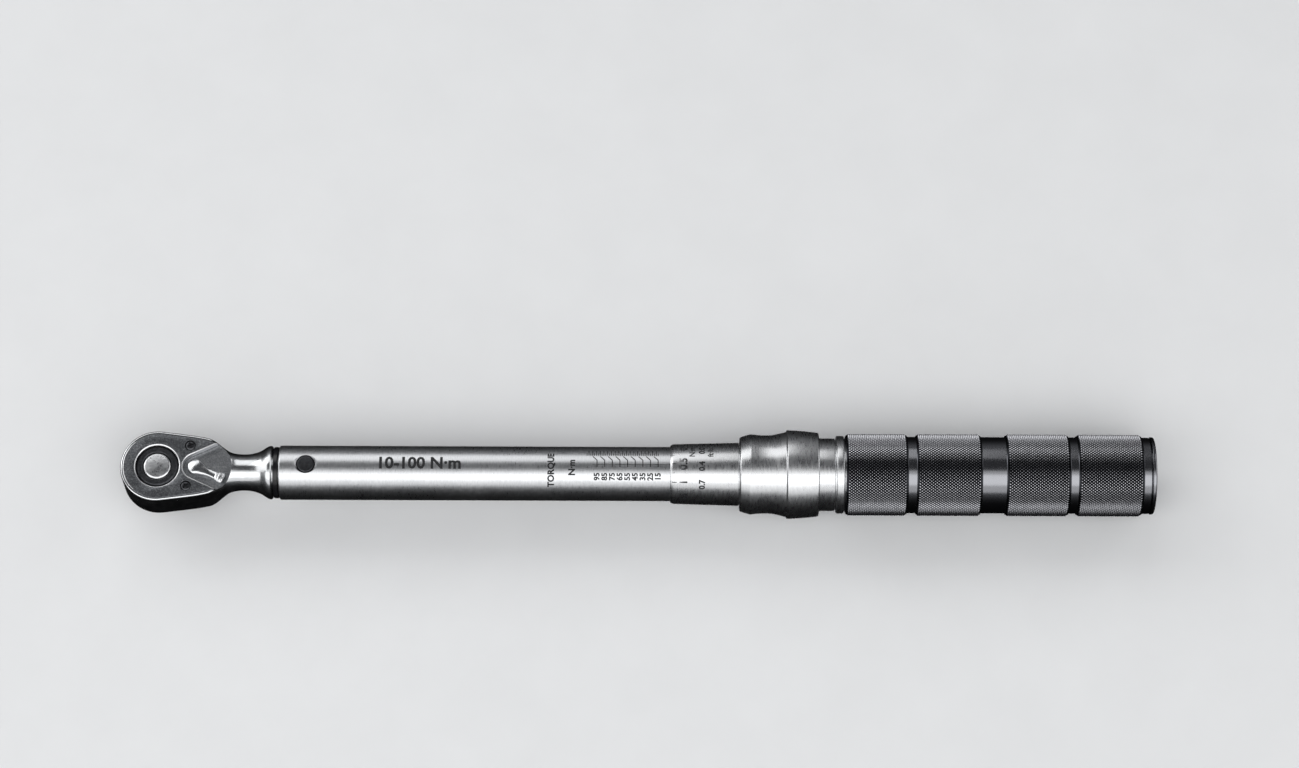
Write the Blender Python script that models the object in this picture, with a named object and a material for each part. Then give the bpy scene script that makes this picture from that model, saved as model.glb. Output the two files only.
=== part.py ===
"""A click torque wrench with a 3/8 inch drive: a round ratchet head, a tube, and a micrometer handle.

The origin is the centre of the square drive's end face. +X runs along the tube to the handle, and +Z is
the side of the reversing lever. Sizes below are in millimetres, and each mesh is made in metres.
"""

import math

import bmesh
import bpy
from mathutils import Matrix, Vector

MM = 0.001
MERGE = 1e-5
GAP = 0.3
STEPS = 32

# Frame
AXIS_Z = 18.6

# Drive and ratchet head
SQUARE = 9.53
SQUARE_TOP = 10.8
BOSS_R = 6.7
TEETH = 36
TOOTH_TIP = 8.5
TOOTH_ROOT = 7.65
GEAR_BOTTOM = 14.0
GEAR_TOP = 22.6
HUB_R = 7.75
HUB_TOP = 25.45
HEAD_R = 13.7
HEAD_HALF_HEIGHT = 7.05
HEAD_TOP = AXIS_Z + HEAD_HALF_HEIGHT
HEAD_FILLET = 0.8
RIM = 0.75
FLOOR_Z = 22.9
PLATE_BOTTOM = FLOOR_Z + 0.25
CAVITY_R = 8.8
CAVITY_BOTTOM = 13.6
FLANK_START = 2.03
HEAD_WIDTHS = [
    (FLANK_START, 13.55), (6.0, 13.05), (10.2, 12.5), (15.6, 11.7), (19.8, 10.7), (22.6, 9.5),
    (26.2, 7.7), (29.0, 6.9), (33.0, 6.75), (36.0, 7.25), (38.2, 8.1), (39.6, 9.0), (40.8, 9.7), (41.6, 9.9),
    (42.4, 9.9),
]
NECK_HEIGHT = 7.2
NECK_X = 31.0
TAIL = [(42.4, 7.1), (47.0, 7.1), (49.5, 7.6), (60.5, 7.6), (66.0, 5.6), (95.3, 5.6)]
RECESS_END = 27.6
BUTTON_BORE_R = 5.4
STEM_BORE_R = 2.4
SCREW_HOLE_R = 1.35

# Reversing lever, pawl and quick release
LEVER_X = 14.3
LEVER_REST = math.radians(-24)
LEVER_LENGTH = 11.5
NOTCH_R = 4.8
NOTCH_ANGLE = math.radians(27)
NOTCH_CORNER_X = 22.0
STEM_R = 1.9
PAWL_REST = math.radians(-6)
PAWL_BOTTOM = 14.3
PAWL_TOP = 21.0
SCREWS = [(12.0, 8.1), (10.9, -7.8)]
BUTTON_TRAVEL = 2.5
BALL_Z = 5.6
BALL_R = 1.5
BALL_REACH = SQUARE / 2 + 0.6

# Tube and click mechanism
TUBE_R = 10.05
BORE_R = 8.2
TUBE_START = 45.0
TUBE_END = 300.0
TRACK_R = 9.15
PIVOT_X = 55.1
PIVOT_R = 3.15
BLOCK_END = 102.6
PLUNGER_START = 102.9
PLUNGER_END = 115.0
SEAT_START = 236.3
SEAT_END = 243.5
THRUST_R = 4.0
THRUST_X = 246.3
SCREW_START = 249.0
SCREW_R = 4.0
NUT_X = 291.0
NUT_PIN_R = 1.2
THROUGH = 12.0

# Handle
THIMBLE_START = 189.9
THIMBLE_END = 215.3
SLEEVE_BORE = 10.25
LOCK_BALL_X = 226.0
LOCK_BALL_ORBIT = 10.7
GRIP_START = 254.8
GRIP_END = 367.6
GRIP_R = 15.15
GROOVE_R = 14.15
GRIP_BORE = 12.4
BANDS = [(254.8, 277.8), (280.8, 305.1), (313.9, 337.7), (340.4, 364.7)]
CAP_END = 369.2
RING_OUTER = [
    (215.6, 13.45), (215.9, 13.75), (219.2, 14.75), (219.5, 14.85), (223.0, 14.6), (226.5, 14.5), (229.0, 14.75),
    (231.2, 15.5), (232.6, 15.6), (233.1, 16.55), (239.0, 16.15), (244.6, 15.55), (244.9, 15.3),
]
RING_BORE = [
    (244.9, 13.65), (229.3, 13.65), (229.0, 12.35), (LOCK_BALL_X, 12.35), (221.0, 13.25), (219.2, 13.25),
    (219.2, 11.45), (215.6, 11.45),
]

LOOKS = {
    "chrome": ((0.62, 0.63, 0.65), 0.16, 1.0),
    "satin_chrome": ((0.66, 0.67, 0.68), 0.28, 1.0),
    "satin_plate": ((0.11, 0.115, 0.12), 0.42, 1.0),
    "black_oxide": ((0.03, 0.03, 0.033), 0.38, 0.9),
    "spring_steel": ((0.30, 0.30, 0.31), 0.32, 1.0),
    "bright_steel": ((0.48, 0.48, 0.50), 0.22, 1.0),
    "black_aluminium": ((0.025, 0.027, 0.032), 0.36, 0.8),
    "bronze": ((0.45, 0.30, 0.12), 0.35, 1.0),
    "rubber": ((0.015, 0.015, 0.016), 0.75, 0.0),
}


def clear_scene():
    for thing in list(bpy.data.objects):
        bpy.data.objects.remove(thing)


def look_material(name, look):
    """A plain Principled finish for one piece."""
    colour, roughness, metallic = LOOKS[look]
    finish = bpy.data.materials.new(name)
    finish.use_nodes = True
    shader = finish.node_tree.nodes["Principled BSDF"]
    shader.inputs["Base Color"].default_value = (*colour, 1)
    shader.inputs["Roughness"].default_value = roughness
    shader.inputs["Metallic"].default_value = metallic
    finish.diffuse_color = (*colour, 1)
    return finish


def place(name, look, bm, at):
    """Turns a mesh in millimetres into a named object whose origin is at `at`. No look makes it a cutter."""
    bmesh.ops.remove_doubles(bm, verts=bm.verts, dist=MERGE / MM)
    bmesh.ops.recalc_face_normals(bm, faces=bm.faces)
    bmesh.ops.scale(bm, vec=(MM, MM, MM), verts=bm.verts)
    mesh = bpy.data.meshes.new(name)
    bm.to_mesh(mesh)
    bm.free()
    mesh.shade_smooth()
    mesh.set_sharp_from_angle(angle=math.radians(35))
    thing = bpy.data.objects.new(name, mesh)
    thing.location = Vector(at) * MM
    bpy.context.scene.collection.objects.link(thing)
    if look:
        mesh.materials.append(look_material(name, look))
    else:
        thing.hide_render = True
        thing.display_type = "WIRE"
    return thing


def turned(name, look, outline, axis="X", at=(0, 0, AXIS_Z), steps=STEPS, hollow=False):
    """A lathe piece: (along, radius) points spun about the axis. A hollow outline closes on itself."""
    bm = bmesh.new()
    spin_axis = {"X": (1, 0, 0), "Y": (0, 1, 0), "Z": (0, 0, 1)}[axis]
    spot = {
        "X": lambda along, radius: (along, 0, radius),
        "Y": lambda along, radius: (radius, along, 0),
        "Z": lambda along, radius: (radius, 0, along),
    }[axis]
    verts = [bm.verts.new(spot(along, radius)) for along, radius in outline]
    after = verts[1:] + verts[:1] if hollow else verts[1:]
    edges = [bm.edges.new(pair) for pair in zip(verts, after)]
    bmesh.ops.spin(
        bm, geom=verts + edges, cent=(0, 0, 0), axis=spin_axis, angle=math.tau, steps=steps, use_merge=True
    )
    return place(name, look, bm, at)


def rod(name, look, radius, start, end, axis="Z", at=(0, 0, 0), steps=STEPS, bevel=0.0):
    """A solid round bar, with its ends bevelled where bevel is set."""
    outline = [(start, 0), (start, radius - bevel), (start + bevel, radius)]
    outline += [(end - bevel, radius), (end, radius - bevel), (end, 0)]
    return turned(name, look, outline, axis, at, steps)


def prism(name, look, outline, bottom, top, at=(0, 0, 0)):
    """An outline in plan, extruded from bottom to top."""
    bm = bmesh.new()
    face = bm.faces.new([bm.verts.new((x, y, bottom)) for x, y in outline])
    raised = bmesh.ops.extrude_face_region(bm, geom=[face])
    verts = [v for v in raised["geom"] if isinstance(v, bmesh.types.BMVert)]
    bmesh.ops.translate(bm, vec=(0, 0, top - bottom), verts=verts)
    return place(name, look, bm, at)


def ball(name, look, radius, at, across=14, rings=9):
    bm = bmesh.new()
    bmesh.ops.create_uvsphere(bm, u_segments=across, v_segments=rings, radius=radius)
    return place(name, look, bm, at)


def coil(name, look, wire, mean, start, end, turns, axis="X", at=(0, 0, AXIS_Z), per_turn=12):
    """A compression spring of round wire: its end turns lie close, and the turns between share the length."""
    low, high = start + wire, end - wire
    close = 2.2 * wire
    active = (high - low - 2 * close) / (turns - 2)
    points = []
    for i in range(turns * per_turn + 1):
        turn = i / per_turn
        along = low + min(turn, 1) * close + min(max(turn - 1, 0), turns - 2) * active
        along += max(turn - turns + 1, 0) * close
        y, z = mean * math.cos(math.tau * turn), mean * math.sin(math.tau * turn)
        points.append((along, y, z) if axis == "X" else (y, z, along))
    curve = bpy.data.curves.new(name, "CURVE")
    curve.dimensions = "3D"
    curve.bevel_depth = wire * MM
    curve.bevel_resolution = 1
    curve.use_fill_caps = True
    spline = curve.splines.new("POLY")
    spline.points.add(len(points) - 1)
    for point, spot in zip(spline.points, points):
        point.co = (*(Vector(spot) * MM), 1)
    thing = bpy.data.objects.new(name, curve)
    thing.location = Vector(at) * MM
    bpy.context.scene.collection.objects.link(thing)
    curve.materials.append(look_material(name, look))
    return thing


def combine(target, other, operation):
    step = target.modifiers.new(other.name, "BOOLEAN")
    step.object = other
    step.operation = operation
    step.solver = "EXACT"
    other.parent = target
    other.matrix_parent_inverse = Matrix.Translation(-target.location)
    return target


def cut(target, *cutters):
    for cutter in cutters:
        combine(target, cutter, "DIFFERENCE")
    return target


def fuse(target, *others):
    for other in others:
        combine(target, other, "UNION")
    return target


def body(name, at, *things):
    """An empty on the body's joint, which carries the body's pieces."""
    empty = bpy.data.objects.new(name, None)
    empty.empty_display_size = 5 * MM
    empty.location = Vector(at) * MM
    bpy.context.scene.collection.objects.link(empty)
    for thing in things:
        thing.parent = empty
        thing.matrix_parent_inverse = Matrix.Translation(-empty.location)
    return empty


def arc(centre, radius, first, last, count):
    """Points on an arc, from one angle in degrees to another, both ends included."""
    angles = [math.radians(first + (last - first) * i / count) for i in range(count + 1)]
    return [(centre[0] + radius * math.cos(a), centre[1] + radius * math.sin(a)) for a in angles]


def smooth(t):
    t = min(max(t, 0.0), 1.0)
    return t * t * (3 - 2 * t)


def along_curve(points, x):
    """A smooth curve through (x, value) points, read at x, with a slope at each point from its neighbours."""
    last = len(points) - 2
    i = max(k for k in range(last + 1) if k == 0 or points[k][0] <= x)
    (x0, y0), (x1, y1) = points[i], points[i + 1]
    before, after = points[max(i - 1, 0)], points[min(i + 2, len(points) - 1)]
    slope0 = (y1 - before[1]) / (x1 - before[0])
    slope1 = (after[1] - y0) / (after[0] - x0)
    span = x1 - x0
    t = (x - x0) / span
    stay, leave = 2 * t**3 - 3 * t**2 + 1, -2 * t**3 + 3 * t**2
    return y0 * stay + y1 * leave + span * (slope0 * (t**3 - 2 * t**2 + t) + slope1 * (t**3 - t**2))


def head_half_width(x):
    """Half of the head's width in plan: a round nose, straight flanks, the neck and its flare."""
    if x <= FLANK_START:
        return math.sqrt(max(HEAD_R**2 - x**2, 0))
    return along_curve(HEAD_WIDTHS, x)


def head_section(x, arc_steps=4):
    """One quarter of the head's cross-section at x, as (y, z) from the side's middle to the top's middle."""
    roundness = smooth((x - 19) / 8)
    wide = head_half_width(x)
    high = wide
    if x < NECK_X:
        high = HEAD_HALF_HEIGHT + (min(wide, NECK_HEIGHT) - HEAD_HALF_HEIGHT) * roundness
    corner = HEAD_FILLET + (0.995 * min(wide, high) - HEAD_FILLET) * roundness
    full = math.pi / 2
    if x < 0 and HEAD_R + x < corner:
        full = math.acos(1 - (HEAD_R + x) / corner)
    points = []
    for i in range(arc_steps + 1):
        a = full * i / arc_steps
        inset = corner * (1 - math.cos(a))
        if x <= FLANK_START:
            y = math.sqrt(max((HEAD_R - inset) ** 2 - x**2, 0))
        else:
            y = wide - inset
        points.append((y, high - corner + corner * math.sin(a)))
    return points


def head_stations():
    """Where the head's sections stand, close together where the plan turns."""
    nose = [-HEAD_R * math.cos(math.radians(a)) for a in (0, 6, 13, 20, 30, 41, 52, 63, 74, 85)]
    neck = [26.2, 28.5, 31.0, 33.5, 36.0, 38.2, 39.6, 40.8, 41.6, 42.4]
    return nose + [FLANK_START, 10.0, 17.0, 20.0, 22.0, 24.0] + neck


def head_loft():
    """The head and its tail, skinned over sections along X. The tail is round and turns inside the tube."""
    rings = []
    for x in head_stations():
        quarter = head_section(x)
        upper = quarter + [(-y, z) for y, z in reversed(quarter)]
        rings.append([(x, y, z) for y, z in upper + [(-y, -z) for y, z in upper]])
    count = len(rings[0])
    for x, radius in TAIL:
        angles = [math.atan2(z, y) for _, y, z in rings[len(rings) - 1]]
        rings.append([(x, radius * math.cos(a), radius * math.sin(a)) for a in angles])
    bm = bmesh.new()
    grid = [[bm.verts.new(point) for point in ring] for ring in rings]
    for one, two in zip(grid, grid[1:]):
        for i in range(count):
            j = (i + 1) % count
            bm.faces.new((one[i], one[j], two[j], two[i]))
    bm.faces.new(grid[-1])
    return place("head_body", "chrome", bm, (0, 0, AXIS_Z))


def flank_points(rim):
    """The +Y flank in plan, set in by the rim, from the nose's end to the notch's corner."""
    return [(x, head_half_width(x) - rim) for x in (FLANK_START, 8.0, 13.5, 18.0, 20.5, NOTCH_CORNER_X)]


def plate_outline(rim):
    """The cover plate in plan: the head's outline set in by the rim, with the lever's notch at its back."""
    front = arc((0, 0), HEAD_R - rim, 98, 262, 20)
    flank = flank_points(rim)
    left = math.degrees(math.pi / 2 + NOTCH_ANGLE)
    notch = arc((LEVER_X, 0), NOTCH_R, -left, -360 + left, 10)
    return list(reversed(flank)) + front + [(x, -y) for x, y in flank] + notch


def recess_outline():
    """The sunk floor under the plate and the lever. Behind the plate it ends in one arc, from flank to flank."""
    front = arc((0, 0), HEAD_R - RIM, 98, 262, 20)
    flank = flank_points(RIM)
    wide = flank[-1][1]
    middle = (RECESS_END + NOTCH_CORNER_X - wide**2 / (RECESS_END - NOTCH_CORNER_X)) / 2
    reach = math.degrees(math.atan2(wide, NOTCH_CORNER_X - middle))
    end = arc((middle, 0), RECESS_END - middle, -reach, reach, 16)
    return list(reversed(flank)) + front + [(x, -y) for x, y in flank] + end[1:-1]


def chamber_outline():
    """The pawl's room, which opens into the gear's cavity."""
    upper = [(4.0, 7.0), (8.0, 7.2), (10.5, 5.6), (14.0, 4.6), (18.0, 3.0)]
    return upper + [(x, -y) for x, y in reversed(upper)]


def make_head_body():
    """The forged head: plate recess, sunk lever floor, gear cavity, pawl chamber and pivot eye."""
    head = head_loft()
    chamber_z = (PAWL_BOTTOM - GAP, PAWL_TOP + GAP)
    cutters = [
        prism("plate_recess", None, recess_outline(), FLOOR_Z, HEAD_TOP + 2),
        rod("gear_cavity", None, CAVITY_R, CAVITY_BOTTOM, HEAD_TOP + 1, steps=48),
        rod("boss_hole", None, BOSS_R + 0.2, 5.0, CAVITY_BOTTOM + 1),
        prism("pawl_chamber", None, chamber_outline(), *chamber_z),
        rod("lever_hole", None, STEM_R + 0.2, PAWL_TOP - 1, FLOOR_Z + 1, at=(LEVER_X, 0, 0), steps=20),
        rod("pawl_ball_bore", None, 1.65, 17.0, 24.6, axis="X", at=(0, 0, 17.6), steps=16),
        rod("pivot_eye", None, PIVOT_R + 0.22, -THROUGH, THROUGH, at=(PIVOT_X, 0, AXIS_Z), steps=24),
    ]
    for i, (x, y) in enumerate(SCREWS):
        cutters.append(rod(f"screw_hole_{i + 1}", None, SCREW_HOLE_R, 17.5, FLOOR_Z + 1, at=(x, y, 0), steps=12))
    return cut(head, *cutters)


def make_cover_plate():
    """The satin plate over the gear, with the hub's hole and two counterbored screw holes."""
    plate = prism("cover_plate", "satin_plate", plate_outline(RIM + 0.15), PLATE_BOTTOM, HEAD_TOP)
    cut(plate, rod("hub_hole", None, HUB_R + 0.35, FLOOR_Z - 1, HEAD_TOP + 1, steps=48))
    for i, (x, y) in enumerate(SCREWS):
        spot = (x, y, 0)
        cut(
            plate,
            rod(f"plate_hole_{i + 1}", None, SCREW_HOLE_R, FLOOR_Z - 1, HEAD_TOP + 1, at=spot, steps=16),
            rod(f"counterbore_{i + 1}", None, 2.1, HEAD_TOP - 1.6, HEAD_TOP + 1, at=spot, steps=20),
        )
    return plate


def make_cover_screws():
    """Two short screws. Their threads are drawn as plain shanks."""
    outline = [(18.0, 0), (18.0, 1.05), (24.3, 1.05), (24.3, 1.85), (25.45, 1.85), (25.6, 1.5), (25.6, 0)]
    return [
        turned(f"cover_screw_{i + 1}", "black_oxide", outline, "Z", (x, y, 0), steps=18)
        for i, (x, y) in enumerate(SCREWS)
    ]


def gear_outline():
    points = []
    for tooth in range(TEETH):
        middle = 360 / TEETH * tooth
        for radius, offset in ((TOOTH_ROOT, -3.8), (TOOTH_TIP, -1.2), (TOOTH_TIP, 1.2), (TOOTH_ROOT, 3.8)):
            a = math.radians(middle + offset)
            points.append((radius * math.cos(a), radius * math.sin(a)))
    return points


def square_prism():
    """The square drive, with its end and its corners eased."""
    half, ease = SQUARE / 2, 0.7
    layers = [(0.0, half - ease), (ease, half), (SQUARE_TOP + 1, half)]
    bm = bmesh.new()
    rings = []
    for z, reach in layers:
        flat = reach - ease
        corners = [(reach, -flat), (reach, flat), (flat, reach), (-flat, reach)]
        corners += [(-reach, flat), (-reach, -flat), (-flat, -reach), (flat, -reach)]
        rings.append([bm.verts.new((x, y, z)) for x, y in corners])
    for one, two in zip(rings, rings[1:]):
        for i in range(8):
            j = (i + 1) % 8
            bm.faces.new((one[i], one[j], two[j], two[i]))
    bm.faces.new(list(reversed(rings[0])))
    bm.faces.new(rings[-1])
    return place("square", None, bm, (0, 0, 0))


def make_drive_gear():
    """The ratchet wheel, its hub and the square drive in one piece, bored for the quick release."""
    wheel = prism("drive_gear", "black_oxide", gear_outline(), GEAR_BOTTOM, GEAR_TOP)
    hub = rod("hub", None, HUB_R - 0.15, GEAR_TOP - 1, HUB_TOP, steps=48, bevel=0.3)
    boss = rod("boss", None, BOSS_R, SQUARE_TOP, GEAR_BOTTOM + 1)
    fuse(wheel, hub, boss, square_prism())
    return cut(
        wheel,
        rod("button_bore", None, BUTTON_BORE_R, 16.5, HUB_TOP + 1),
        rod("stem_bore", None, STEM_BORE_R, 1.5, 17.0, steps=20),
        rod("ball_hole", None, 1.7, -6.0, -1.0, axis="Y", at=(0, 0, BALL_Z), steps=16),
    )


def make_quick_release():
    """The button, whose stem is waisted so that the ball can drop in, with its spring and the ball."""
    lean = 0.9 / BUTTON_TRAVEL
    outline = [
        (4.2, 0), (4.2, 2.0), (4.5, 2.2), (BALL_Z, 2.2), (BALL_Z + BUTTON_TRAVEL, 2.2 - lean * BUTTON_TRAVEL),
        (10.1, 1.3), (11.0, 2.2), (22.3, 2.2), (22.3, 5.1), (25.2, 5.1), (25.7, 4.6), (25.85, 0),
    ]
    button = turned("release_button", "chrome", outline, "Z", (0, 0, 0))
    spring = coil("button_spring", "spring_steel", 0.3, 4.2, 16.8, 22.0, 4, axis="Z", at=(0, 0, 0))
    pellet = ball("detent_ball", "bright_steel", BALL_R, (0, BALL_R - BALL_REACH, BALL_Z))
    return button, spring, pellet


def make_lever():
    """The reversing lever: a round hub on a stem, a waisted arm and a broad tip."""
    half_widths = [(2.6, 2.1), (5.2, 1.55), (7.6, 1.6), (9.2, 2.1), (10.9, 2.25), (LEVER_LENGTH, 1.7)]
    hub = arc((0, 0), 3.1, 45, 315, 14)
    outline = hub + [(x, -y) for x, y in half_widths] + [(x, y) for x, y in reversed(half_widths)]
    lever = prism("reversing_lever", "chrome", outline, 23.2, 25.3, at=(LEVER_X, 0, 0))
    fuse(lever, rod("lever_stem", None, STEM_R, 14.6, 24.0, at=(LEVER_X, 0, 0), steps=20))
    lever.rotation_euler.z = LEVER_REST
    return lever


def turn_about(point, centre, angle):
    x, y = point[0] - centre[0], point[1] - centre[1]
    c, s = math.cos(angle), math.sin(angle)
    return centre[0] + c * x - s * y, centre[1] + s * x + c * y


def make_pawl():
    """The rocking pawl. Each arm has two teeth, and the arm on the -Y side is in mesh at rest."""
    clear, tip, half = 8.8, 7.95, 2.7
    face = [(-39, clear)]
    for gap in (-35, -25):
        face += [(gap - half, clear), (gap, tip), (gap + half, clear)]
    face += [(-19.5, clear)]
    engaged = [arc((0, 0), radius, angle, angle, 1)[0] for angle, radius in face]
    lower = [turn_about(point, (LEVER_X, 0), -PAWL_REST) for point in engaged]
    back = [(7.7, -6.0), (10.2, -4.5), (13.2, -3.2), (16.4, -2.3)]
    half_outline = list(reversed(back)) + lower + [(10.0, -1.6)]
    outline = half_outline + [(x, -y) for x, y in reversed(half_outline)] + [(17.55, 0)]
    local = [(x - LEVER_X, y) for x, y in outline]
    pawl = prism("pawl", "spring_steel", local, PAWL_BOTTOM, PAWL_TOP, at=(LEVER_X, 0, 0))
    cut(pawl, rod("pawl_bore", None, STEM_R + 0.2, 10, 25, at=(LEVER_X, 0, 0), steps=20))
    pawl.rotation_euler.z = PAWL_REST
    return pawl


def make_tube():
    """The tube, with its pivot-pin holes, the turned-down track of the lock balls and the nut's pin holes."""
    outline = [
        (TUBE_START, BORE_R), (TUBE_START, TUBE_R - 0.6), (TUBE_START + 0.6, TUBE_R), (195.8, TUBE_R),
        (196.4, TRACK_R), (229.0, TRACK_R), (229.6, TUBE_R), (TUBE_END, TUBE_R), (TUBE_END, BORE_R),
    ]
    tube = turned("tube", "satin_chrome", outline, hollow=True)
    return cut(
        tube,
        rod("pivot_holes", None, PIVOT_R + 0.35, -THROUGH, THROUGH, at=(PIVOT_X, 0, AXIS_Z), steps=28),
        rod("nut_pin_holes", None, NUT_PIN_R + 0.25, -THROUGH, THROUGH, at=(NUT_X, 0, AXIS_Z), steps=16),
    )


def make_click_train():
    """What carries the spring's load to the head: the tilting block and the plunger."""
    ease, flat, wide = 0.5, 1.2, 3.25
    side = [(-7.0, flat), (-7.0 + ease, wide), (-ease, wide), (0.0, flat)]
    outline = side + [(x, -y) for x, y in reversed(side)]
    block = prism("tilt_block", "bright_steel", outline, -wide, wide, at=(BLOCK_END, 0, AXIS_Z))
    plunger = turned(
        "plunger",
        "spring_steel",
        [(PLUNGER_START, 0), (PLUNGER_START, 7.4), (PLUNGER_START + 0.5, 7.9), (PLUNGER_END, 7.9),
         (PLUNGER_END, 4.0), (PLUNGER_END + 4, 4.0), (PLUNGER_END + 4, 0)],
    )
    return block, plunger


def dish(face, middle, radius):
    """A spherical seat, as (along, radius) points from the face to the seat's bottom on the axis."""
    reach = math.acos(abs(face - middle) / radius)
    side = 1 if face > middle else -1
    angles = [reach * (1 - i / 5) for i in range(6)]
    return [(middle + side * radius * math.cos(a), radius * math.sin(a)) for a in angles]


def make_spring_train():
    """The main spring, its seat, the thrust ball and the adjusting screw, whose thread is a plain rod."""
    spring_ends = (PLUNGER_END + GAP, SEAT_START - GAP)
    spring = coil("main_spring", "spring_steel", 1.5, 5.9, *spring_ends, 13, per_turn=10)
    seat = turned(
        "spring_seat",
        "bright_steel",
        [(SEAT_START - 4, 0), (SEAT_START - 4, 4.0), (SEAT_START, 4.0), (SEAT_START, 7.9), (SEAT_END, 7.9)]
        + dish(SEAT_END, THRUST_X, THRUST_R + GAP),
    )
    thrust = ball("thrust_ball", "bright_steel", THRUST_R, (THRUST_X, 0, AXIS_Z), 18, 11)
    rear = 360.0
    screw = turned(
        "adjusting_screw",
        "bright_steel",
        list(reversed(dish(SCREW_START, THRUST_X, THRUST_R + GAP)))
        + [(SCREW_START, 6.5), (254.0, 6.5), (254.0, SCREW_R), (rear, SCREW_R), (rear, 2.6)]
        + [(345.0, 2.6), (345.0, 0)],
        steps=24,
    )
    return spring, seat, thrust, screw


def make_nut():
    """The nut that the adjusting screw turns in, and the two pins that hold it in the tube."""
    outline = [(NUT_X - 6, SCREW_R + 0.2), (NUT_X - 6, 7.9), (NUT_X + 6, 7.9), (NUT_X + 6, SCREW_R + 0.2)]
    nut = turned("adjuster_nut", "bronze", outline, hollow=True)
    cut(nut, rod("nut_cross_hole", None, NUT_PIN_R + 0.25, -THROUGH, THROUGH, at=(NUT_X, 0, AXIS_Z), steps=16))
    pins = [
        rod("nut_pin_1", "spring_steel", NUT_PIN_R, 5.0, 9.9, at=(NUT_X, 0, AXIS_Z), steps=14),
        rod("nut_pin_2", "spring_steel", NUT_PIN_R, -9.9, -5.0, at=(NUT_X, 0, AXIS_Z), steps=14),
    ]
    return [nut, *pins]


def make_thimble():
    """The micrometer sleeve that carries the fine scale."""
    outline = [
        (THIMBLE_START, SLEEVE_BORE), (THIMBLE_START, 10.75), (THIMBLE_START + 0.9, 11.05),
        (THIMBLE_END, 11.7), (THIMBLE_END, 11.1), (206.2, 11.1), (206.2, SLEEVE_BORE),
    ]
    return turned("thimble", "satin_chrome", outline, hollow=True)


def make_lock_sleeve():
    """The handle's inner sleeve: it holds the lock balls, guides the lock ring and ends inside the grip."""
    outline = [
        (206.5, SLEEVE_BORE), (206.5, 10.85), (THIMBLE_END + 0.15, 10.85), (THIMBLE_END + 0.15, 11.25),
        (240.3, 11.25), (240.3, 13.45), (250.9, 13.45), (250.9, 12.9), (251.4, 12.9), (251.4, 14.2),
        (251.7, 14.4), (254.1, 14.4), (254.4, 14.1), (254.4, 12.1), (278.0, 12.1), (278.0, SLEEVE_BORE),
    ]
    sleeve = turned("lock_sleeve", "satin_chrome", outline, hollow=True)
    spot = (LOCK_BALL_X, 0, AXIS_Z)
    hole = rod("lock_ball_holes", None, BALL_R + 0.15, -14, 14, axis="Y", at=spot, steps=16)
    return cut(sleeve, hole)


def make_lock_ring():
    """The spool-shaped lock ring. Its bore widens to the front, so that pulling it back frees the balls."""
    return turned("lock_ring", "satin_chrome", RING_OUTER + RING_BORE, hollow=True)


def make_lock_parts():
    """The lock ring's spring and the two balls that lock the sleeve to the tube."""
    spring = coil("lock_spring", "spring_steel", 0.6, 12.5, 229.7, 239.95, 4, per_turn=16)
    balls = [
        ball(f"lock_ball_{i + 1}", "bright_steel", BALL_R, (LOCK_BALL_X, side * LOCK_BALL_ORBIT, AXIS_Z))
        for i, side in enumerate((1, -1))
    ]
    return spring, balls


def make_grip():
    """The black grip: four raised bands between grooves. Its knurling is too fine for this solid."""
    outline = [(GRIP_START, GRIP_BORE)]
    for start, end in BANDS:
        outline += [(start, GROOVE_R), (start + 0.5, GRIP_R), (end - 0.5, GRIP_R), (end, GROOVE_R)]
    outline += [(GRIP_END - 0.3, GROOVE_R), (GRIP_END, GROOVE_R - 0.3), (GRIP_END, GRIP_BORE)]
    return turned("grip", "black_aluminium", outline, hollow=True)


def make_end():
    """The end cap plugged into the grip, and the screw that ties it to the adjusting screw."""
    cap = turned(
        "end_cap",
        "black_aluminium",
        [(347.0, SCREW_R + 0.3), (347.0, 12.1), (GRIP_END + 0.3, 12.1), (GRIP_END + 0.3, 14.4),
         (CAP_END - 0.5, 14.4), (CAP_END, 13.9), (CAP_END, 5.2), (363.3, 5.2), (363.3, 2.6), (360.4, 2.6),
         (360.4, SCREW_R + 0.3)],
        steps=40,
        hollow=True,
    )
    axis = (0, 0, AXIS_Z)
    screw = rod("end_screw", "bright_steel", 4.7, 363.6, 367.9, axis="X", at=axis, steps=24, bevel=0.4)
    fuse(screw, rod("end_screw_shank", None, 2.3, 347.0, 364.5, axis="X", at=axis, steps=16))
    socket = [(2.3 * math.cos(a), 2.3 * math.sin(a)) for a in (math.radians(60 * i) for i in range(6))]
    key = prism("hex_socket", None, socket, -1, 3.0)
    key.rotation_euler.y = math.pi / 2
    key.location = Vector((366.0, 0, AXIS_Z)) * MM
    cut(screw, key)
    return cap, screw


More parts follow.
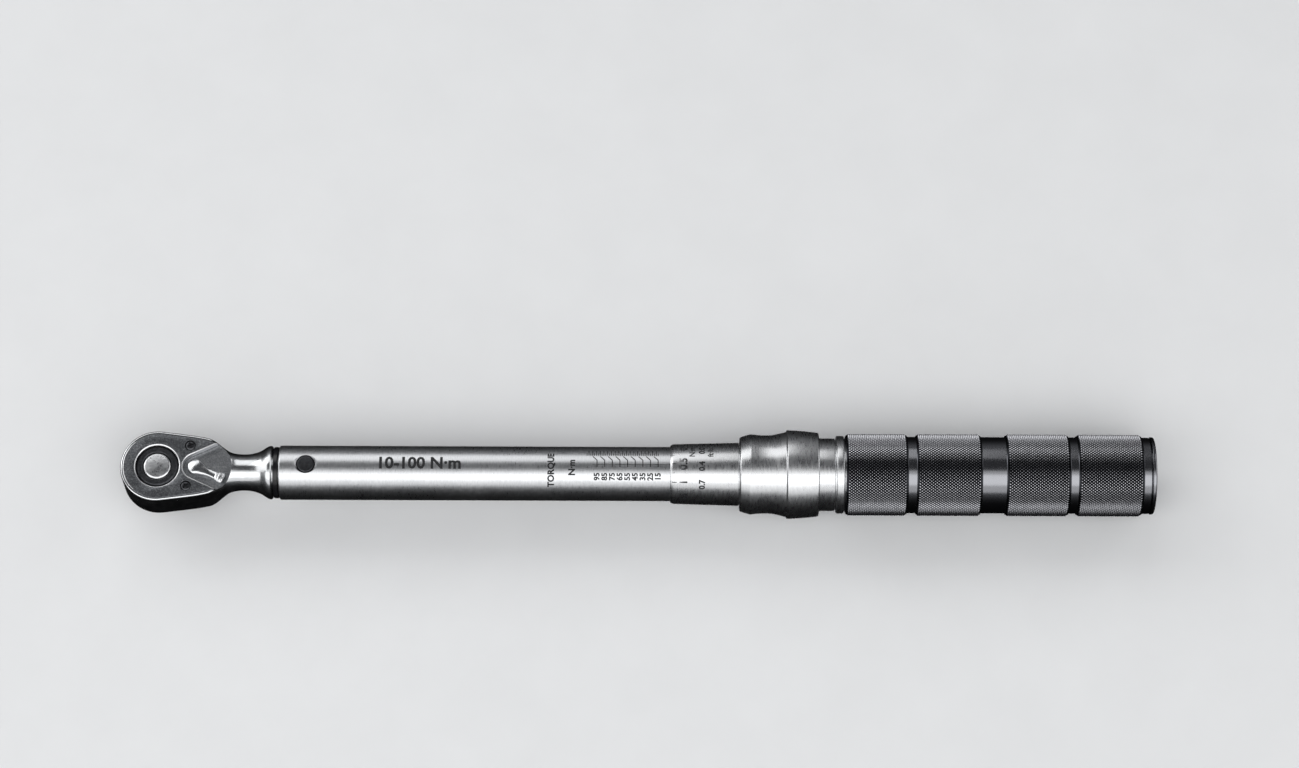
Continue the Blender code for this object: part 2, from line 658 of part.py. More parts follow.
def main():
    clear_scene()
    pin = rod("pivot_pin", "black_oxide", PIVOT_R, -9.55, 9.55, at=(PIVOT_X, 0, AXIS_Z), steps=24, bevel=0.25)
    seal = turned("dust_seal", "rubber", [(42.9, 7.6), (42.9, 9.5), (44.75, 9.5), (44.75, 7.6)], hollow=True)
    block, plunger = make_click_train()
    spring, seat, thrust, screw = make_spring_train()
    button, button_spring, pellet = make_quick_release()
    lock_spring, lock_balls = make_lock_parts()
    pawl_ball = ball("pawl_ball", "bright_steel", 1.4, (19.2, 0, 17.6))
    pawl_spring = coil("pawl_spring", "spring_steel", 0.22, 1.05, 20.8, 24.3, 5, at=(0, 0, 17.6), per_turn=10)
    pivot = (PIVOT_X, 0, AXIS_Z)
    handle = [make_thimble(), make_lock_sleeve(), make_grip(), *make_end(), screw, lock_spring]
    body("tube_body", (0, 0, AXIS_Z), make_tube(), pin, seal, spring, *make_nut())
    head = [make_head_body(), make_cover_plate(), *make_cover_screws()]
    body("head_pivot", pivot, *head, pawl_ball, pawl_spring)
    body("drive_axis", (0, 0, 0), make_drive_gear(), button_spring, button, pellet)
    body("lever_axis", (LEVER_X, 0, 0), make_lever(), make_pawl())
    body("click_body", (BLOCK_END, 0, AXIS_Z), block, plunger)
    body("seat_body", (THRUST_X, 0, AXIS_Z), seat, thrust)
    body("handle_body", (SCREW_START, 0, AXIS_Z), *handle)
    body("lock_body", (LOCK_BALL_X, 0, AXIS_Z), make_lock_ring(), *lock_balls)


main()
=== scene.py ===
"""The looks of a click torque wrench: polished head, satin chrome tube with its scale, and a knurled grip.

Lengths are in metres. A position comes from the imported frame, and the offsets from it are written in
millimetres times MM.
"""
import math

import bmesh
import bpy
import numpy as np
from mathutils import Matrix, Vector


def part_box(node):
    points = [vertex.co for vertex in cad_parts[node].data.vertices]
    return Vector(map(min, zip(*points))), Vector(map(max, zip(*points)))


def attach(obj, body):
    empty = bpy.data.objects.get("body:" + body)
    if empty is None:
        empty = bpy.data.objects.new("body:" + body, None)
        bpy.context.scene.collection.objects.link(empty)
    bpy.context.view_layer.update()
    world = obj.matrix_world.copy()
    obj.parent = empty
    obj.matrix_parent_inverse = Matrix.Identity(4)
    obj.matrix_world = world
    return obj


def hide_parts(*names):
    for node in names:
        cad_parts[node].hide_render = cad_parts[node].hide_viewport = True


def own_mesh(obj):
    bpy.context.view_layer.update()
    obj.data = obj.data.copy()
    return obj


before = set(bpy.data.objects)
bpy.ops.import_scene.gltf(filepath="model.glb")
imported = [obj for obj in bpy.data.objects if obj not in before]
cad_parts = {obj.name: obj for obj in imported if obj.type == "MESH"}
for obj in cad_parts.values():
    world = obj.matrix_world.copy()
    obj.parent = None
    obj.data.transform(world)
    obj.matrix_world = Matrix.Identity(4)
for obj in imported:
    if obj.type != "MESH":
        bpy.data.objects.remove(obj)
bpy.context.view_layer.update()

MM = 0.001
TAU = math.tau

# Where the frame stands: the tool's axis, its pieces' ends and their radii.
TUBE_LOW, TUBE_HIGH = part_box("tube")
AXIS_Z = (TUBE_LOW.z + TUBE_HIGH.z) / 2
TUBE_R = (TUBE_HIGH.z - TUBE_LOW.z) / 2
HEAD_R = -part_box("head_body")[0].x
PLATE_LOW, PLATE_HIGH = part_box("cover_plate")
HEAD_TOP = PLATE_HIGH.z
HALF_HEIGHT = HEAD_TOP - AXIS_Z
PIN_LOW, PIN_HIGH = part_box("pivot_pin")
PIVOT_X = (PIN_LOW.x + PIN_HIGH.x) / 2
THIMBLE_LOW, THIMBLE_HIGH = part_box("thimble")
RING_LOW, RING_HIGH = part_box("lock_ring")
SLEEVE_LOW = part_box("lock_sleeve")[0]
GRIP_LOW, GRIP_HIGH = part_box("grip")
CAP_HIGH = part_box("end_cap")[1]
# The lever's pivot, and the level of the head's sunk floor.
LEVER_X = 14.3 * MM
FLOOR_Z = PLATE_LOW.z - 0.25 * MM


# ---------------------------------------------------------------- materials


def srgb(code):
    """A hex colour, as sRGB, turned to linear red, green, blue and alpha."""
    parts = [int(code[i : i + 2], 16) / 255 for i in (1, 3, 5)]
    return (*[p / 12.92 if p <= 0.04045 else ((p + 0.055) / 1.055) ** 2.4 for p in parts], 1.0)


def add(tree, kind, settings=None, links=None):
    """Adds a node. Settings name its properties or its sockets, and stops fill its colour ramp. A link comes
    from a socket, or from a node's first output."""
    made = tree.nodes.new("ShaderNode" + kind)
    for name, value in (settings or {}).items():
        if name == "stops":
            bar = made.color_ramp.elements
            while len(bar) < len(value):
                bar.new(0.5)
            for stop, (place, code) in zip(bar, value):
                stop.position, stop.color = place, srgb(code)
        elif isinstance(name, str) and hasattr(made, name):
            setattr(made, name, value)
        else:
            made.inputs[name].default_value = value
    for name, source in (links or {}).items():
        tree.links.new(getattr(source, "outputs", [source])[0], made.inputs[name])
    return made


def surface(name, metallic, tints, rough, grain, cloud=9.0, mix=0.5, stretch=(1, 1, 1), relief=0.004):
    """A finish whose fine grain and broad clouds, both sized in millimetres, shift its colour and roughness.
    The grain also stands up by the relief, in millimetres. Returns the material, its tree and that shift."""
    made = bpy.data.materials.new(name)
    made.use_nodes = True
    tree = made.node_tree
    shader = tree.nodes["Principled BSDF"]
    shader.inputs["Metallic"].default_value = metallic
    where = add(tree, "TexCoord").outputs["Object"]
    drawn = add(tree, "Mapping", {"Scale": stretch}, {"Vector": where})
    sizes = {"Detail": 3.0, "Roughness": 0.6, "Scale": 1 / (grain * MM)}
    fine = add(tree, "TexNoise", sizes, {"Vector": drawn})
    sizes = {"Detail": 4.0, "Roughness": 0.6, "Scale": 1 / (cloud * MM)}
    broad = add(tree, "TexNoise", sizes, {"Vector": where})
    both = add(tree, "Math", {"operation": "MULTIPLY_ADD", 1: mix}, {0: broad, 2: fine})
    middle, reach = 0.5 + 0.5 * mix, 0.2 * (1 + mix)
    ends = {"From Min": middle - reach, "From Max": middle + reach}
    shift = add(tree, "MapRange", ends, {"Value": both})
    places = [i / (len(tints) - 1) for i in range(len(tints))]
    tint = add(tree, "ValToRGB", {"stops": list(zip(places, tints))}, {"Fac": shift})
    gloss = add(tree, "MapRange", {"To Min": rough[0], "To Max": rough[1]}, {"Value": shift})
    bump = add(tree, "Bump", {"Strength": 1.0, "Distance": relief * MM}, {"Height": fine})
    tree.links.new(tint.outputs[0], shader.inputs["Base Color"])
    tree.links.new(gloss.outputs[0], shader.inputs["Roughness"])
    tree.links.new(bump.outputs[0], shader.inputs["Normal"])
    return made, tree, shift


def knurled_aluminium():
    """Black anodised aluminium, glossy in the grooves. The knurl has painted shade in its valleys, and its
    points are lighter, partly rubbed wear and partly painted highlight.
    """
    tints, groove, peak = ("#77787d", "#838489"), 14.1 * MM, (GRIP_HIGH.z - GRIP_LOW.z) / 2
    made, tree, shift = surface("black_anodised_aluminium", 1.0, tints, (0.16, 0.23), 0.7, 4.0, relief=0.002)
    where = add(tree, "TexCoord").outputs["Object"]
    level = add(tree, "VectorMath", {"operation": "SUBTRACT", 1: (0, 0, AXIS_Z)}, {0: where})
    across = add(tree, "VectorMath", {"operation": "MULTIPLY", 1: (0, 1, 1)}, {0: level})
    radius = add(tree, "VectorMath", {"operation": "LENGTH"}, {0: across}).outputs["Value"]
    height = add(tree, "MapRange", {"From Min": groove, "From Max": peak}, {"Value": radius})
    rubbed = add(tree, "MapRange", {"To Min": 0.93, "To Max": 1.0}, {"Value": shift})
    wear_shade_and_highlight = add(tree, "Math", {"operation": "MULTIPLY"}, {0: height, 1: rubbed})
    # The ramp paints shade dark into the knurl's valleys and a highlight onto its points, which are also
    # rubbed.
    stops = [(0.0, "#8d8e92"), (0.35, "#8d8e92"), (0.45, "#27282b"), (0.62, "#27282b"), (0.8, "#6c6d71")]
    stops += [(0.92, "#c6c6ca"), (1.0, "#cecfd2")]
    tint = add(tree, "ValToRGB", {"stops": stops}, {"Fac": wear_shade_and_highlight})
    tree.links.new(tint.outputs[0], tree.nodes["Principled BSDF"].inputs["Base Color"])
    return made


FINISH = {
    # Chrome plate on a forged and buffed head: a mirror with faint smears.
    "chrome": surface("polished_chrome", 1.0, ("#c9cbcd", "#dfe0e1"), (0.15, 0.28), 2.4, 11, relief=0.02)[0],
    # Satin chrome on a lathe-turned tube: fine rings round it, 0.5 mm apart, speckle its highlights.
    "tube": surface(
        "satin_chrome_tube", 1.0, ("#c2c4c6", "#dedfe1"), (0.25, 0.38), 0.5, 14,
        stretch=(1, 0.3, 0.3), relief=0.006,
    )[0],
    # The same plate on the handle, turned a little coarser.
    "ring": surface(
        "satin_chrome_handle", 1.0, ("#cacbcd", "#e2e3e4"), (0.22, 0.36), 0.55, 14,
        stretch=(1, 0.2, 0.2), relief=0.006,
    )[0],
    # Dark satin nickel on blasted steel: an even grey with brighter specks.
    "plate": surface(
        "satin_nickel", 1.0, ("#4d4f52", "#6a6c6f", "#9b9da0"), (0.36, 0.46), 0.5, 5, 0.35, relief=0.01
    )[0],
    # The same plate on the sunk floor behind the cover, cast a little brighter.
    "sunk": surface(
        "cast_nickel", 1.0, ("#77797c", "#919396", "#b4b6b8"), (0.34, 0.44), 0.5, 4, 0.5, relief=0.012
    )[0],
    # The same plate, lighter, on the walls round its bore and its V-shaped end: a painted highlight, a thin
    # bright line.
    "edge": surface("nickel_painted_highlight", 1.0, ("#e0e1e3", "#f3f3f4"), (0.3, 0.42), 0.8, 5)[0],
    # Black oxide: a thin dark skin, lighter where it is rubbed.
    "oxide": surface("black_oxide", 1.0, ("#3c3d40", "#5d5e61"), (0.28, 0.4), 0.8, 5)[0],
    # Oil-tempered spring steel.
    "spring": surface("tempered_spring_steel", 1.0, ("#66686c", "#8b8d90"), (0.26, 0.38), 0.6, 5)[0],
    # Ground steel with fine scratches along it.
    "steel": surface(
        "ground_steel", 1.0, ("#a6a8ab", "#cacccf"), (0.18, 0.3), 0.3, 6, stretch=(0.1, 1, 1)
    )[0],
    # Steel scuffed by thumbs: pale, with mottled smears.
    "button": surface(
        "scuffed_steel", 1.0, ("#b4b6b8", "#dcdddf", "#f2f3f3"), (0.22, 0.4), 1.1, 3.5, 0.8, relief=0.07
    )[0],
    "grip": knurled_aluminium(),
    # Moulded nitrile rubber, oily enough to shine.
    "rubber": surface("nitrile_rubber", 0.0, ("#0c0c0e", "#17171a"), (0.16, 0.28), 0.6, 4)[0],
    # Black etching ink: matt, and a little thin in places.
    "ink": surface("etching_ink", 0.0, ("#08080a", "#1b1c20"), (0.5, 0.7), 0.6, 4)[0],
    # Turned bearing bronze, slightly tarnished.
    "bronze": surface("bearing_bronze", 1.0, ("#8a5a2a", "#b98345"), (0.24, 0.4), 0.8, 5)[0],
    # The studio floor: pale matt board.
    "floor": surface("studio_board", 0.0, ("#e2e3e4", "#e6e7e8"), (0.75, 0.85), 30, 300)[0],
}


# ---------------------------------------------------------------- mesh tools


def placed(name, data):
    """Puts a mesh, a lamp or a camera in the scene."""
    thing = bpy.data.objects.new(name, data)
    bpy.context.scene.collection.objects.link(thing)
    return thing


def piece(name, verts, faces, finish, body, replaces=(), slot=None, smooth=30):
    """A mesh that rides on a body, smooth below the given angle between its faces."""
    mesh = bpy.data.meshes.new(name)
    mesh.from_pydata([tuple(v) for v in verts], [], [tuple(int(i) for i in f) for f in faces])
    mesh.validate()
    return dress(placed(name, mesh), finish, body, replaces, smooth)


def dress(thing, finish, body, replaces=(), smooth=30):
    """Gives a piece its outward normals, its finish and its body."""
    bm = bmesh.new()
    bm.from_mesh(thing.data)
    bmesh.ops.remove_doubles(bm, verts=bm.verts, dist=1e-8)
    bmesh.ops.recalc_face_normals(bm, faces=bm.faces)
    bm.to_mesh(thing.data)
    bm.free()
    shade(thing, smooth)
    thing.data.materials.clear()
    thing.data.materials.append(FINISH[finish])
    if body:
        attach(thing, body)
    if replaces:
        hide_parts(*replaces)
    return thing


def refinish(thing, finish, chosen):
    """Gives the faces that chosen(centre, normal) picks a second finish."""
    thing.data.materials.append(FINISH[finish])
    for face in thing.data.polygons:
        if chosen(face.center, face.normal):
            face.material_index = 1


def shade(thing, smooth):
    thing.data.shade_smooth()
    thing.data.set_sharp_from_angle(angle=math.radians(smooth))


def eased(outline, closed=False, steps=5):
    """Rounds an outline's corners. A point is (along, radius) or (along, radius, ease), all in metres."""
    points = []
    last = len(outline) - 1
    for i, point in enumerate(outline):
        here = Vector(point[:2])
        ease = point[2] if len(point) > 2 else 0
        if not ease or (not closed and i in (0, last)):
            points.append(here)
            continue
        before, after = Vector(outline[i - 1][:2]), Vector(outline[(i + 1) % (last + 1)][:2])
        start = here + (before - here).normalized() * min(ease, (before - here).length * 0.48)
        end = here + (after - here).normalized() * min(ease, (after - here).length * 0.48)
        for k in range(steps + 1):
            t = k / steps
            points.append(start * (1 - t) ** 2 + here * 2 * t * (1 - t) + end * t**2)
    return points


def lathe_mesh(outline, steps, axis="X", centre=(0, 0, 0), closed=True):
    """Vertices and faces of an outline spun round an axis. An open outline starts and ends on the axis."""
    verts, faces = [], []
    count = len(outline)
    for k in range(steps):
        a = TAU * k / steps
        for along, radius in outline:
            if axis == "X":
                verts.append((along, -radius * math.sin(a), centre[2] + radius * math.cos(a)))
            else:
                verts.append((centre[0] + radius * math.cos(a), centre[1] + radius * math.sin(a), along))
    for k in range(steps):
        one, two = k * count, (k + 1) % steps * count
        for i in range(count if closed else count - 1):
            j = (i + 1) % count
            faces.append((one + i, one + j, two + j, two + i))
    return verts, faces


def lathe(name, outline, finish, body, replaces=(), slot=None, steps=128):
    """A piece turned about the tool's axis, with eased corners."""
    verts, faces = lathe_mesh(eased(outline, True), steps, "X", (0, 0, AXIS_Z))
    return piece(name, verts, faces, finish, body, replaces, slot)


def cutter(verts, faces):
    """A closed shape that cuts another, or joins it."""
    mesh = bpy.data.meshes.new("cutter")
    mesh.from_pydata([tuple(v) for v in verts], [], faces)
    bm = bmesh.new()
    bm.from_mesh(mesh)
    bmesh.ops.remove_doubles(bm, verts=bm.verts, dist=1e-8)
    bmesh.ops.recalc_face_normals(bm, faces=bm.faces)
    bm.to_mesh(mesh)
    bm.free()
    return placed("cutter", mesh)


def round_cutter(outline, axis="Z", centre=(0, 0, 0), steps=64):
    return cutter(*lathe_mesh([Vector(p) for p in outline], steps, axis, centre, closed=False))


def drill(radius, low, high, axis="Z", centre=(0, 0, 0), steps=64):
    return round_cutter([(low, 0), (low, radius), (high, radius), (high, 0)], axis, centre, steps)


def skinned(rings):
    """Vertices and faces of a closed skin over a row of rings that all have the same number of points."""
    count = len(rings[0])
    verts = [v for ring in rings for v in ring]
    faces = [tuple(range(count - 1, -1, -1)), tuple(range(len(verts) - count, len(verts)))]
    for start in range(0, len(verts) - count, count):
        for i in range(count):
            j = (i + 1) % count
            faces.append((start + i, start + j, start + count + j, start + count + i))
    return verts, faces


def prism_mesh(outline, low, high):
    count = len(outline)
    verts = [(x, y, low) for x, y in outline] + [(x, y, high) for x, y in outline]
    sides = [(i, (i + 1) % count, (i + 1) % count + count, i + count) for i in range(count)]
    return verts, sides + [tuple(range(count - 1, -1, -1)), tuple(range(count, 2 * count))]


def apply_all(thing):
    """Applies a piece's modifiers, so that its mesh is final."""
    graph = bpy.context.evaluated_depsgraph_get()
    mesh = bpy.data.meshes.new_from_object(thing.evaluated_get(graph))
    thing.modifiers.clear()
    thing.data = mesh
    return thing


def combine(thing, others, operation="DIFFERENCE"):
    """Cuts or joins other shapes, which are then removed."""
    for other in others:
        step = thing.modifiers.new("combine", "BOOLEAN")
        step.operation = operation
        step.object = other
        step.solver = "EXACT"
        apply_all(thing)
        bpy.data.objects.remove(other)
    return thing


def bevel(thing, width, angle=35, segments=3):
    step = thing.modifiers.new("bevel", "BEVEL")
    step.width = width
    step.segments = segments
    step.limit_method = "ANGLE"
    step.angle_limit = math.radians(angle)
    step.use_clamp_overlap = True
    step.miter_outer = "MITER_ARC"
    return apply_all(thing)


def arc(centre, radius, first, last, count):
    """Points on an arc, from one angle in degrees to another."""
    angles = [math.radians(first + (last - first) * i / count) for i in range(count + 1)]
    return [(centre[0] + radius * math.cos(a), centre[1] + radius * math.sin(a)) for a in angles]


def mm(points):
    """Points in millimetres become metres, whatever their length."""
    return [tuple(value * MM for value in point) for point in points]


def ease_in_out(t):
    """A soft step from 0 to 1."""
    t = min(max(t, 0.0), 1.0)
    return t * t * (3 - 2 * t)


# ---------------------------------------------------------------- ratchet head

# The head is round up to the flanks. From there on, each (x, half the width) follows its taper and its neck.
FLANK_START = 2.03 * MM
WIDTHS = mm([
    (2.03, 13.55), (6.0, 13.05), (10.2, 12.5), (15.6, 11.7), (19.8, 10.7), (22.6, 9.5),
    (26.2, 7.7), (29.0, 6.9), (33.0, 6.75), (36.0, 7.25), (38.2, 8.1), (39.6, 9.0),
    (40.8, 9.7), (41.6, 9.9), (42.1, 9.9), (42.4, 9.6),
])
# The round tail inside the tube, as (x, radius), and how the flat top rounds over into the neck.
TAIL = mm([(42.4, 7.1), (47.0, 7.1), (49.5, 7.6), (60.5, 7.6), (66.0, 5.6), (95.3, 5.6)])
NECK_HEIGHT = 7.2 * MM
ROUND_FROM, ROUND_OVER = 19.0 * MM, 8.0 * MM
FILLET = 0.8 * MM
# The rim round the cover plate, and where the plate and the sunk floor end.
RIM = 0.75 * MM
CORNER_X = 22.0 * MM
NECK_X = 31.0 * MM
RECESS_END = 27.6 * MM
# The head's bores and hollows, the plate's V-shaped notch round the lever, and its two screws.
GEAR_BORE, GEAR_LOW, SHOULDER_BORE = 8.8 * MM, 13.6 * MM, 6.9 * MM
PAWL_LOW, PAWL_HIGH = 14.0 * MM, 21.3 * MM
LEVER_BORE, PIN_BORE, SCREW_BORE = 2.1 * MM, 3.37 * MM, 1.35 * MM
DETENT_BORE, DETENT_Z = 1.65 * MM, 17.6 * MM
NOTCH_R, NOTCH_ANGLE = 4.8 * MM, math.radians(27)
SCREWS = mm([(12.0, 8.1), (10.9, -7.8)])


def along_curve(points, x):
    """A smooth curve through (x, value) points, read at x, with a slope at each point from its neighbours."""
    last = len(points) - 2
    i = max(k for k in range(last + 1) if k == 0 or points[k][0] <= x)
    (x0, y0), (x1, y1) = points[i], points[i + 1]
    before, after = points[max(i - 1, 0)], points[min(i + 2, len(points) - 1)]
    slope0 = (y1 - before[1]) / (x1 - before[0])
    slope1 = (after[1] - y0) / (after[0] - x0)
    width = x1 - x0
    t = (x - x0) / width
    stay, leave = 2 * t**3 - 3 * t**2 + 1, -2 * t**3 + 3 * t**2
    return y0 * stay + y1 * leave + width * (slope0 * (t**3 - 2 * t**2 + t) + slope1 * (t**3 - t**2))


def half_width(x):
    """Half the head's width in plan."""
    if x <= FLANK_START:
        return math.sqrt(max(HEAD_R**2 - x**2, 0))
    return along_curve(WIDTHS, x)


def head_quarter(x, arc_steps, side_steps, top_steps):
    """A quarter of the head's section at x, from the side's middle up and over to the top's middle."""
    roundness = ease_in_out((x - ROUND_FROM) / ROUND_OVER)
    wide = half_width(x)
    high = wide
    if x < NECK_X:
        high = HALF_HEIGHT + (min(wide, NECK_HEIGHT) - HALF_HEIGHT) * roundness
    corner = FILLET + (0.995 * min(wide, high) - FILLET) * roundness
    full = math.pi / 2
    if x < 0 and HEAD_R + x < corner:
        full = math.acos(max(1 - (HEAD_R + x) / corner, -1))
    points = []
    for i in range(arc_steps + 1):
        a = full * i / arc_steps
        into = corner * (1 - math.cos(a))
        y = math.sqrt(max((HEAD_R - into) ** 2 - x**2, 0)) if x <= FLANK_START else wide - into
        points.append((y, high - corner + corner * math.sin(a)))
    first, last = points[0], points[-1]
    side = [(first[0], first[1] * (i + 0.5) / (side_steps + 0.5)) for i in range(side_steps)]
    top = [(last[0] * (1 - (i + 1) / (top_steps + 0.5)), last[1]) for i in range(top_steps)]
    return side + points + top


def make_head():
    """The forged head, neck and tail, skinned over many sections, then cut like the real one."""
    nose = [-HEAD_R * math.cos(math.radians(a)) for a in np.linspace(0, 98, 46)[:-1]]
    body = list(np.linspace(FLANK_START, 18 * MM, 12)) + list(np.linspace(18.7 * MM, 42.4 * MM, 58))
    rings = []
    for x in nose + body:
        quarter = head_quarter(x, 8, 3, 3)
        upper = quarter + [(-y, z) for y, z in reversed(quarter)]
        rings.append([(x, y, z) for y, z in upper + [(-y, -z) for y, z in upper]])
    last = rings[-1]
    for x, radius in TAIL:
        angles = [math.atan2(z, y) for _, y, z in last]
        rings.append([(x, radius * math.cos(a), radius * math.sin(a)) for a in angles])
    rings = [[(x, y, AXIS_Z + z) for x, y, z in ring] for ring in rings]
    head = piece("ratchet_head", *skinned(rings[1:]), "chrome", None)
    chamber = mm([(4.0, 7.0), (8.0, 7.2), (10.5, 5.6), (14.0, 4.6), (18.0, 3.0)])
    chamber += [(x, -y) for x, y in reversed(chamber)]
    cuts = [cutter(*prism_mesh(recess_outline(), FLOOR_Z, HEAD_TOP + 2 * MM))]
    cuts.append(drill(GEAR_BORE, GEAR_LOW, HEAD_TOP + MM))
    cuts.append(drill(SHOULDER_BORE, 5 * MM, GEAR_LOW + MM))
    cuts.append(cutter(*prism_mesh(chamber, PAWL_LOW, PAWL_HIGH)))
    cuts.append(drill(LEVER_BORE, 20 * MM, FLOOR_Z + MM, centre=(LEVER_X, 0, 0), steps=32))
    cuts.append(drill(DETENT_BORE, 17 * MM, 24.6 * MM, "X", (0, 0, DETENT_Z), 24))
    pin_low, pin_high = AXIS_Z - 12 * MM, AXIS_Z + 12 * MM
    cuts.append(drill(PIN_BORE, pin_low, pin_high, centre=(PIVOT_X, 0, 0), steps=32))
    for x, y in SCREWS:
        cuts.append(drill(SCREW_BORE, 17.5 * MM, FLOOR_Z + MM, centre=(x, y, 0), steps=24))
    combine(head, cuts)
    dress(head, "chrome", "head", ["head_body"], 32)
    refinish(head, "sunk", lambda at, normal: abs(at.z - FLOOR_Z) < 0.01 * MM and normal.z > 0.9)


def flank(rim, count=14):
    """Points along the head's far side, inside a rim of that width."""
    return [(x, half_width(x) - rim) for x in np.linspace(FLANK_START, CORNER_X, count)]


def recess_outline():
    """The sunk floor in plan: inside the rim, and behind the plate up to one arc from flank to flank."""
    front = arc((0, 0), HEAD_R - RIM, 82, 278, 70)
    side = flank(RIM)
    wide = side[-1][1]
    middle = (RECESS_END + CORNER_X - wide**2 / (RECESS_END - CORNER_X)) / 2
    reach = math.degrees(math.atan2(wide, CORNER_X - middle))
    end = arc((middle, 0), RECESS_END - middle, -reach, reach, 60)
    return list(reversed(side)) + front + [(x, -y) for x, y in side] + end[1:-1]


def plate_outline(rim):
    """The cover plate in plan: round the gear, along the flanks, and notched round the lever."""
    front = arc((0, 0), HEAD_R - rim, 82, 278, 70)
    side = flank(rim)
    left = math.degrees(math.pi / 2 + NOTCH_ANGLE)
    notch = arc((LEVER_X, 0), NOTCH_R, -left, -360 + left, 28)
    return list(reversed(side)) + front + [(x, -y) for x, y in side] + notch


def inset(outline, distance):
    """Moves a closed outline inwards by the same distance all round."""
    points = [Vector(p) for p in outline]
    moved = []
    for i, here in enumerate(points):
        before = (here - points[i - 1]).normalized()
        after = (points[(i + 1) % len(points)] - here).normalized()
        both = Vector((-before.y - after.y, before.x + after.x))
        moved.append(here + both * 2 * distance / both.length_squared)
    return moved


def painted_highlight_walls(at, normal):
    """Picks the plate's edges round its bore and its V-shaped end, but not its rim or the screws' seats, for
    the painted highlight.
    """
    band, seat, level = 1.6 * MM, 2.6 * MM, 0.985
    inside = abs(at.y) < half_width(at.x) - band
    clear = all(math.hypot(at.x - x, at.y - y) > seat for x, y in SCREWS)
    return abs(normal.z) < level and inside and clear


def make_plate():
    """The satin cover plate, with rounded edges that catch the light, and a painted highlight on the walls of
    its bore and its V-shaped end.
    """
    rings = []
    for drop, into in mm([(0.6, 0.0), (0.32, 0.05), (0.14, 0.17), (0.04, 0.33), (0.0, 0.52)]):
        rings.append([(x, y, HEAD_TOP - drop) for x, y in inset(plate_outline(RIM + 0.06 * MM), into)])
    rings.insert(0, [(x, y, PLATE_LOW.z) for x, y, _ in rings[0]])
    verts, faces = skinned(rings)
    plate = piece("cover_plate_satin", verts, faces, "plate", None)
    hole = [(PLATE_LOW.z - MM, 0), (PLATE_LOW.z - MM, 8.1 * MM), (HEAD_TOP - 0.35 * MM, 8.1 * MM)]
    hole += [(HEAD_TOP - 0.12 * MM, 8.3 * MM), (HEAD_TOP + 0.1 * MM, 8.75 * MM), (HEAD_TOP + 0.1 * MM, 0)]
    cuts = [round_cutter(hole, steps=128)]
    for x, y in SCREWS:
        cuts.append(drill(SCREW_BORE, PLATE_LOW.z - MM, HEAD_TOP, centre=(x, y, 0), steps=32))
        seat = [(HEAD_TOP - 1.6 * MM, 0), (HEAD_TOP - 1.6 * MM, 2.0 * MM), (HEAD_TOP - 0.12 * MM, 2.0 * MM)]
        seat += [(HEAD_TOP + 0.2 * MM, 2.32 * MM), (HEAD_TOP + 0.2 * MM, 0)]
        cuts.append(round_cutter(seat, centre=(x, y, 0), steps=48))
    combine(plate, cuts)
    dress(plate, "plate", "head", ["cover_plate"], 40)
    # A lighter finish on these walls paints a highlight there.
    refinish(plate, "edge", painted_highlight_walls)


def make_screws():
    """The two cross-head cover screws."""
    for number, (x, y) in enumerate(SCREWS, 1):
        top = HEAD_TOP - 0.12 * MM
        shank = mm([(18.0, 0.0), (18.0, 1.05, 0.2), (24.2, 1.05), (24.4, 1.85)])
        crown = [(top - 0.35 * MM, 1.85 * MM, 0.2 * MM), (top, 1.25 * MM, 0.3 * MM), (top, 0)]
        outline = shank + crown
        verts, faces = lathe_mesh(eased(outline), 48, "Z", (x, y, 0), closed=False)
        screw = piece(f"cover_screw_{number}_cross", verts, faces, "oxide", None)
        cuts = []
        cross = mm([(-1.2, -0.27), (1.2, -0.27), (1.2, 0.27), (-1.2, 0.27)])
        for turn in (0, 90):
            blade = cutter(*prism_mesh(cross, top - 0.8 * MM, top + MM))
            swing = Matrix.Rotation(math.radians(turn + 20 * number), 4, "Z")
            blade.matrix_world = Matrix.Translation((x, y, 0)) @ swing
            cuts.append(blade)
        combine(screw, cuts)
        dress(screw, "oxide", "head", [f"cover_screw_{number}"])


def square_mesh(half, ease, low, high):
    """The square drive, its corners rounded and its end bevelled."""
    corner = 1.1 * MM
    rings = []
    for z, into in ((low, ease), (low + ease * 0.35, ease * 0.35), (low + ease, 0.0), (high, 0.0)):
        reach = half - into
        ring = []
        for k, (sx, sy) in enumerate(((1, 1), (-1, 1), (-1, -1), (1, -1))):
            ring += arc((sx * (reach - corner), sy * (reach - corner)), corner, 90 * k, 90 * k + 90, 6)
        rings.append([(x, y, z) for x, y in ring])
    return skinned(rings)


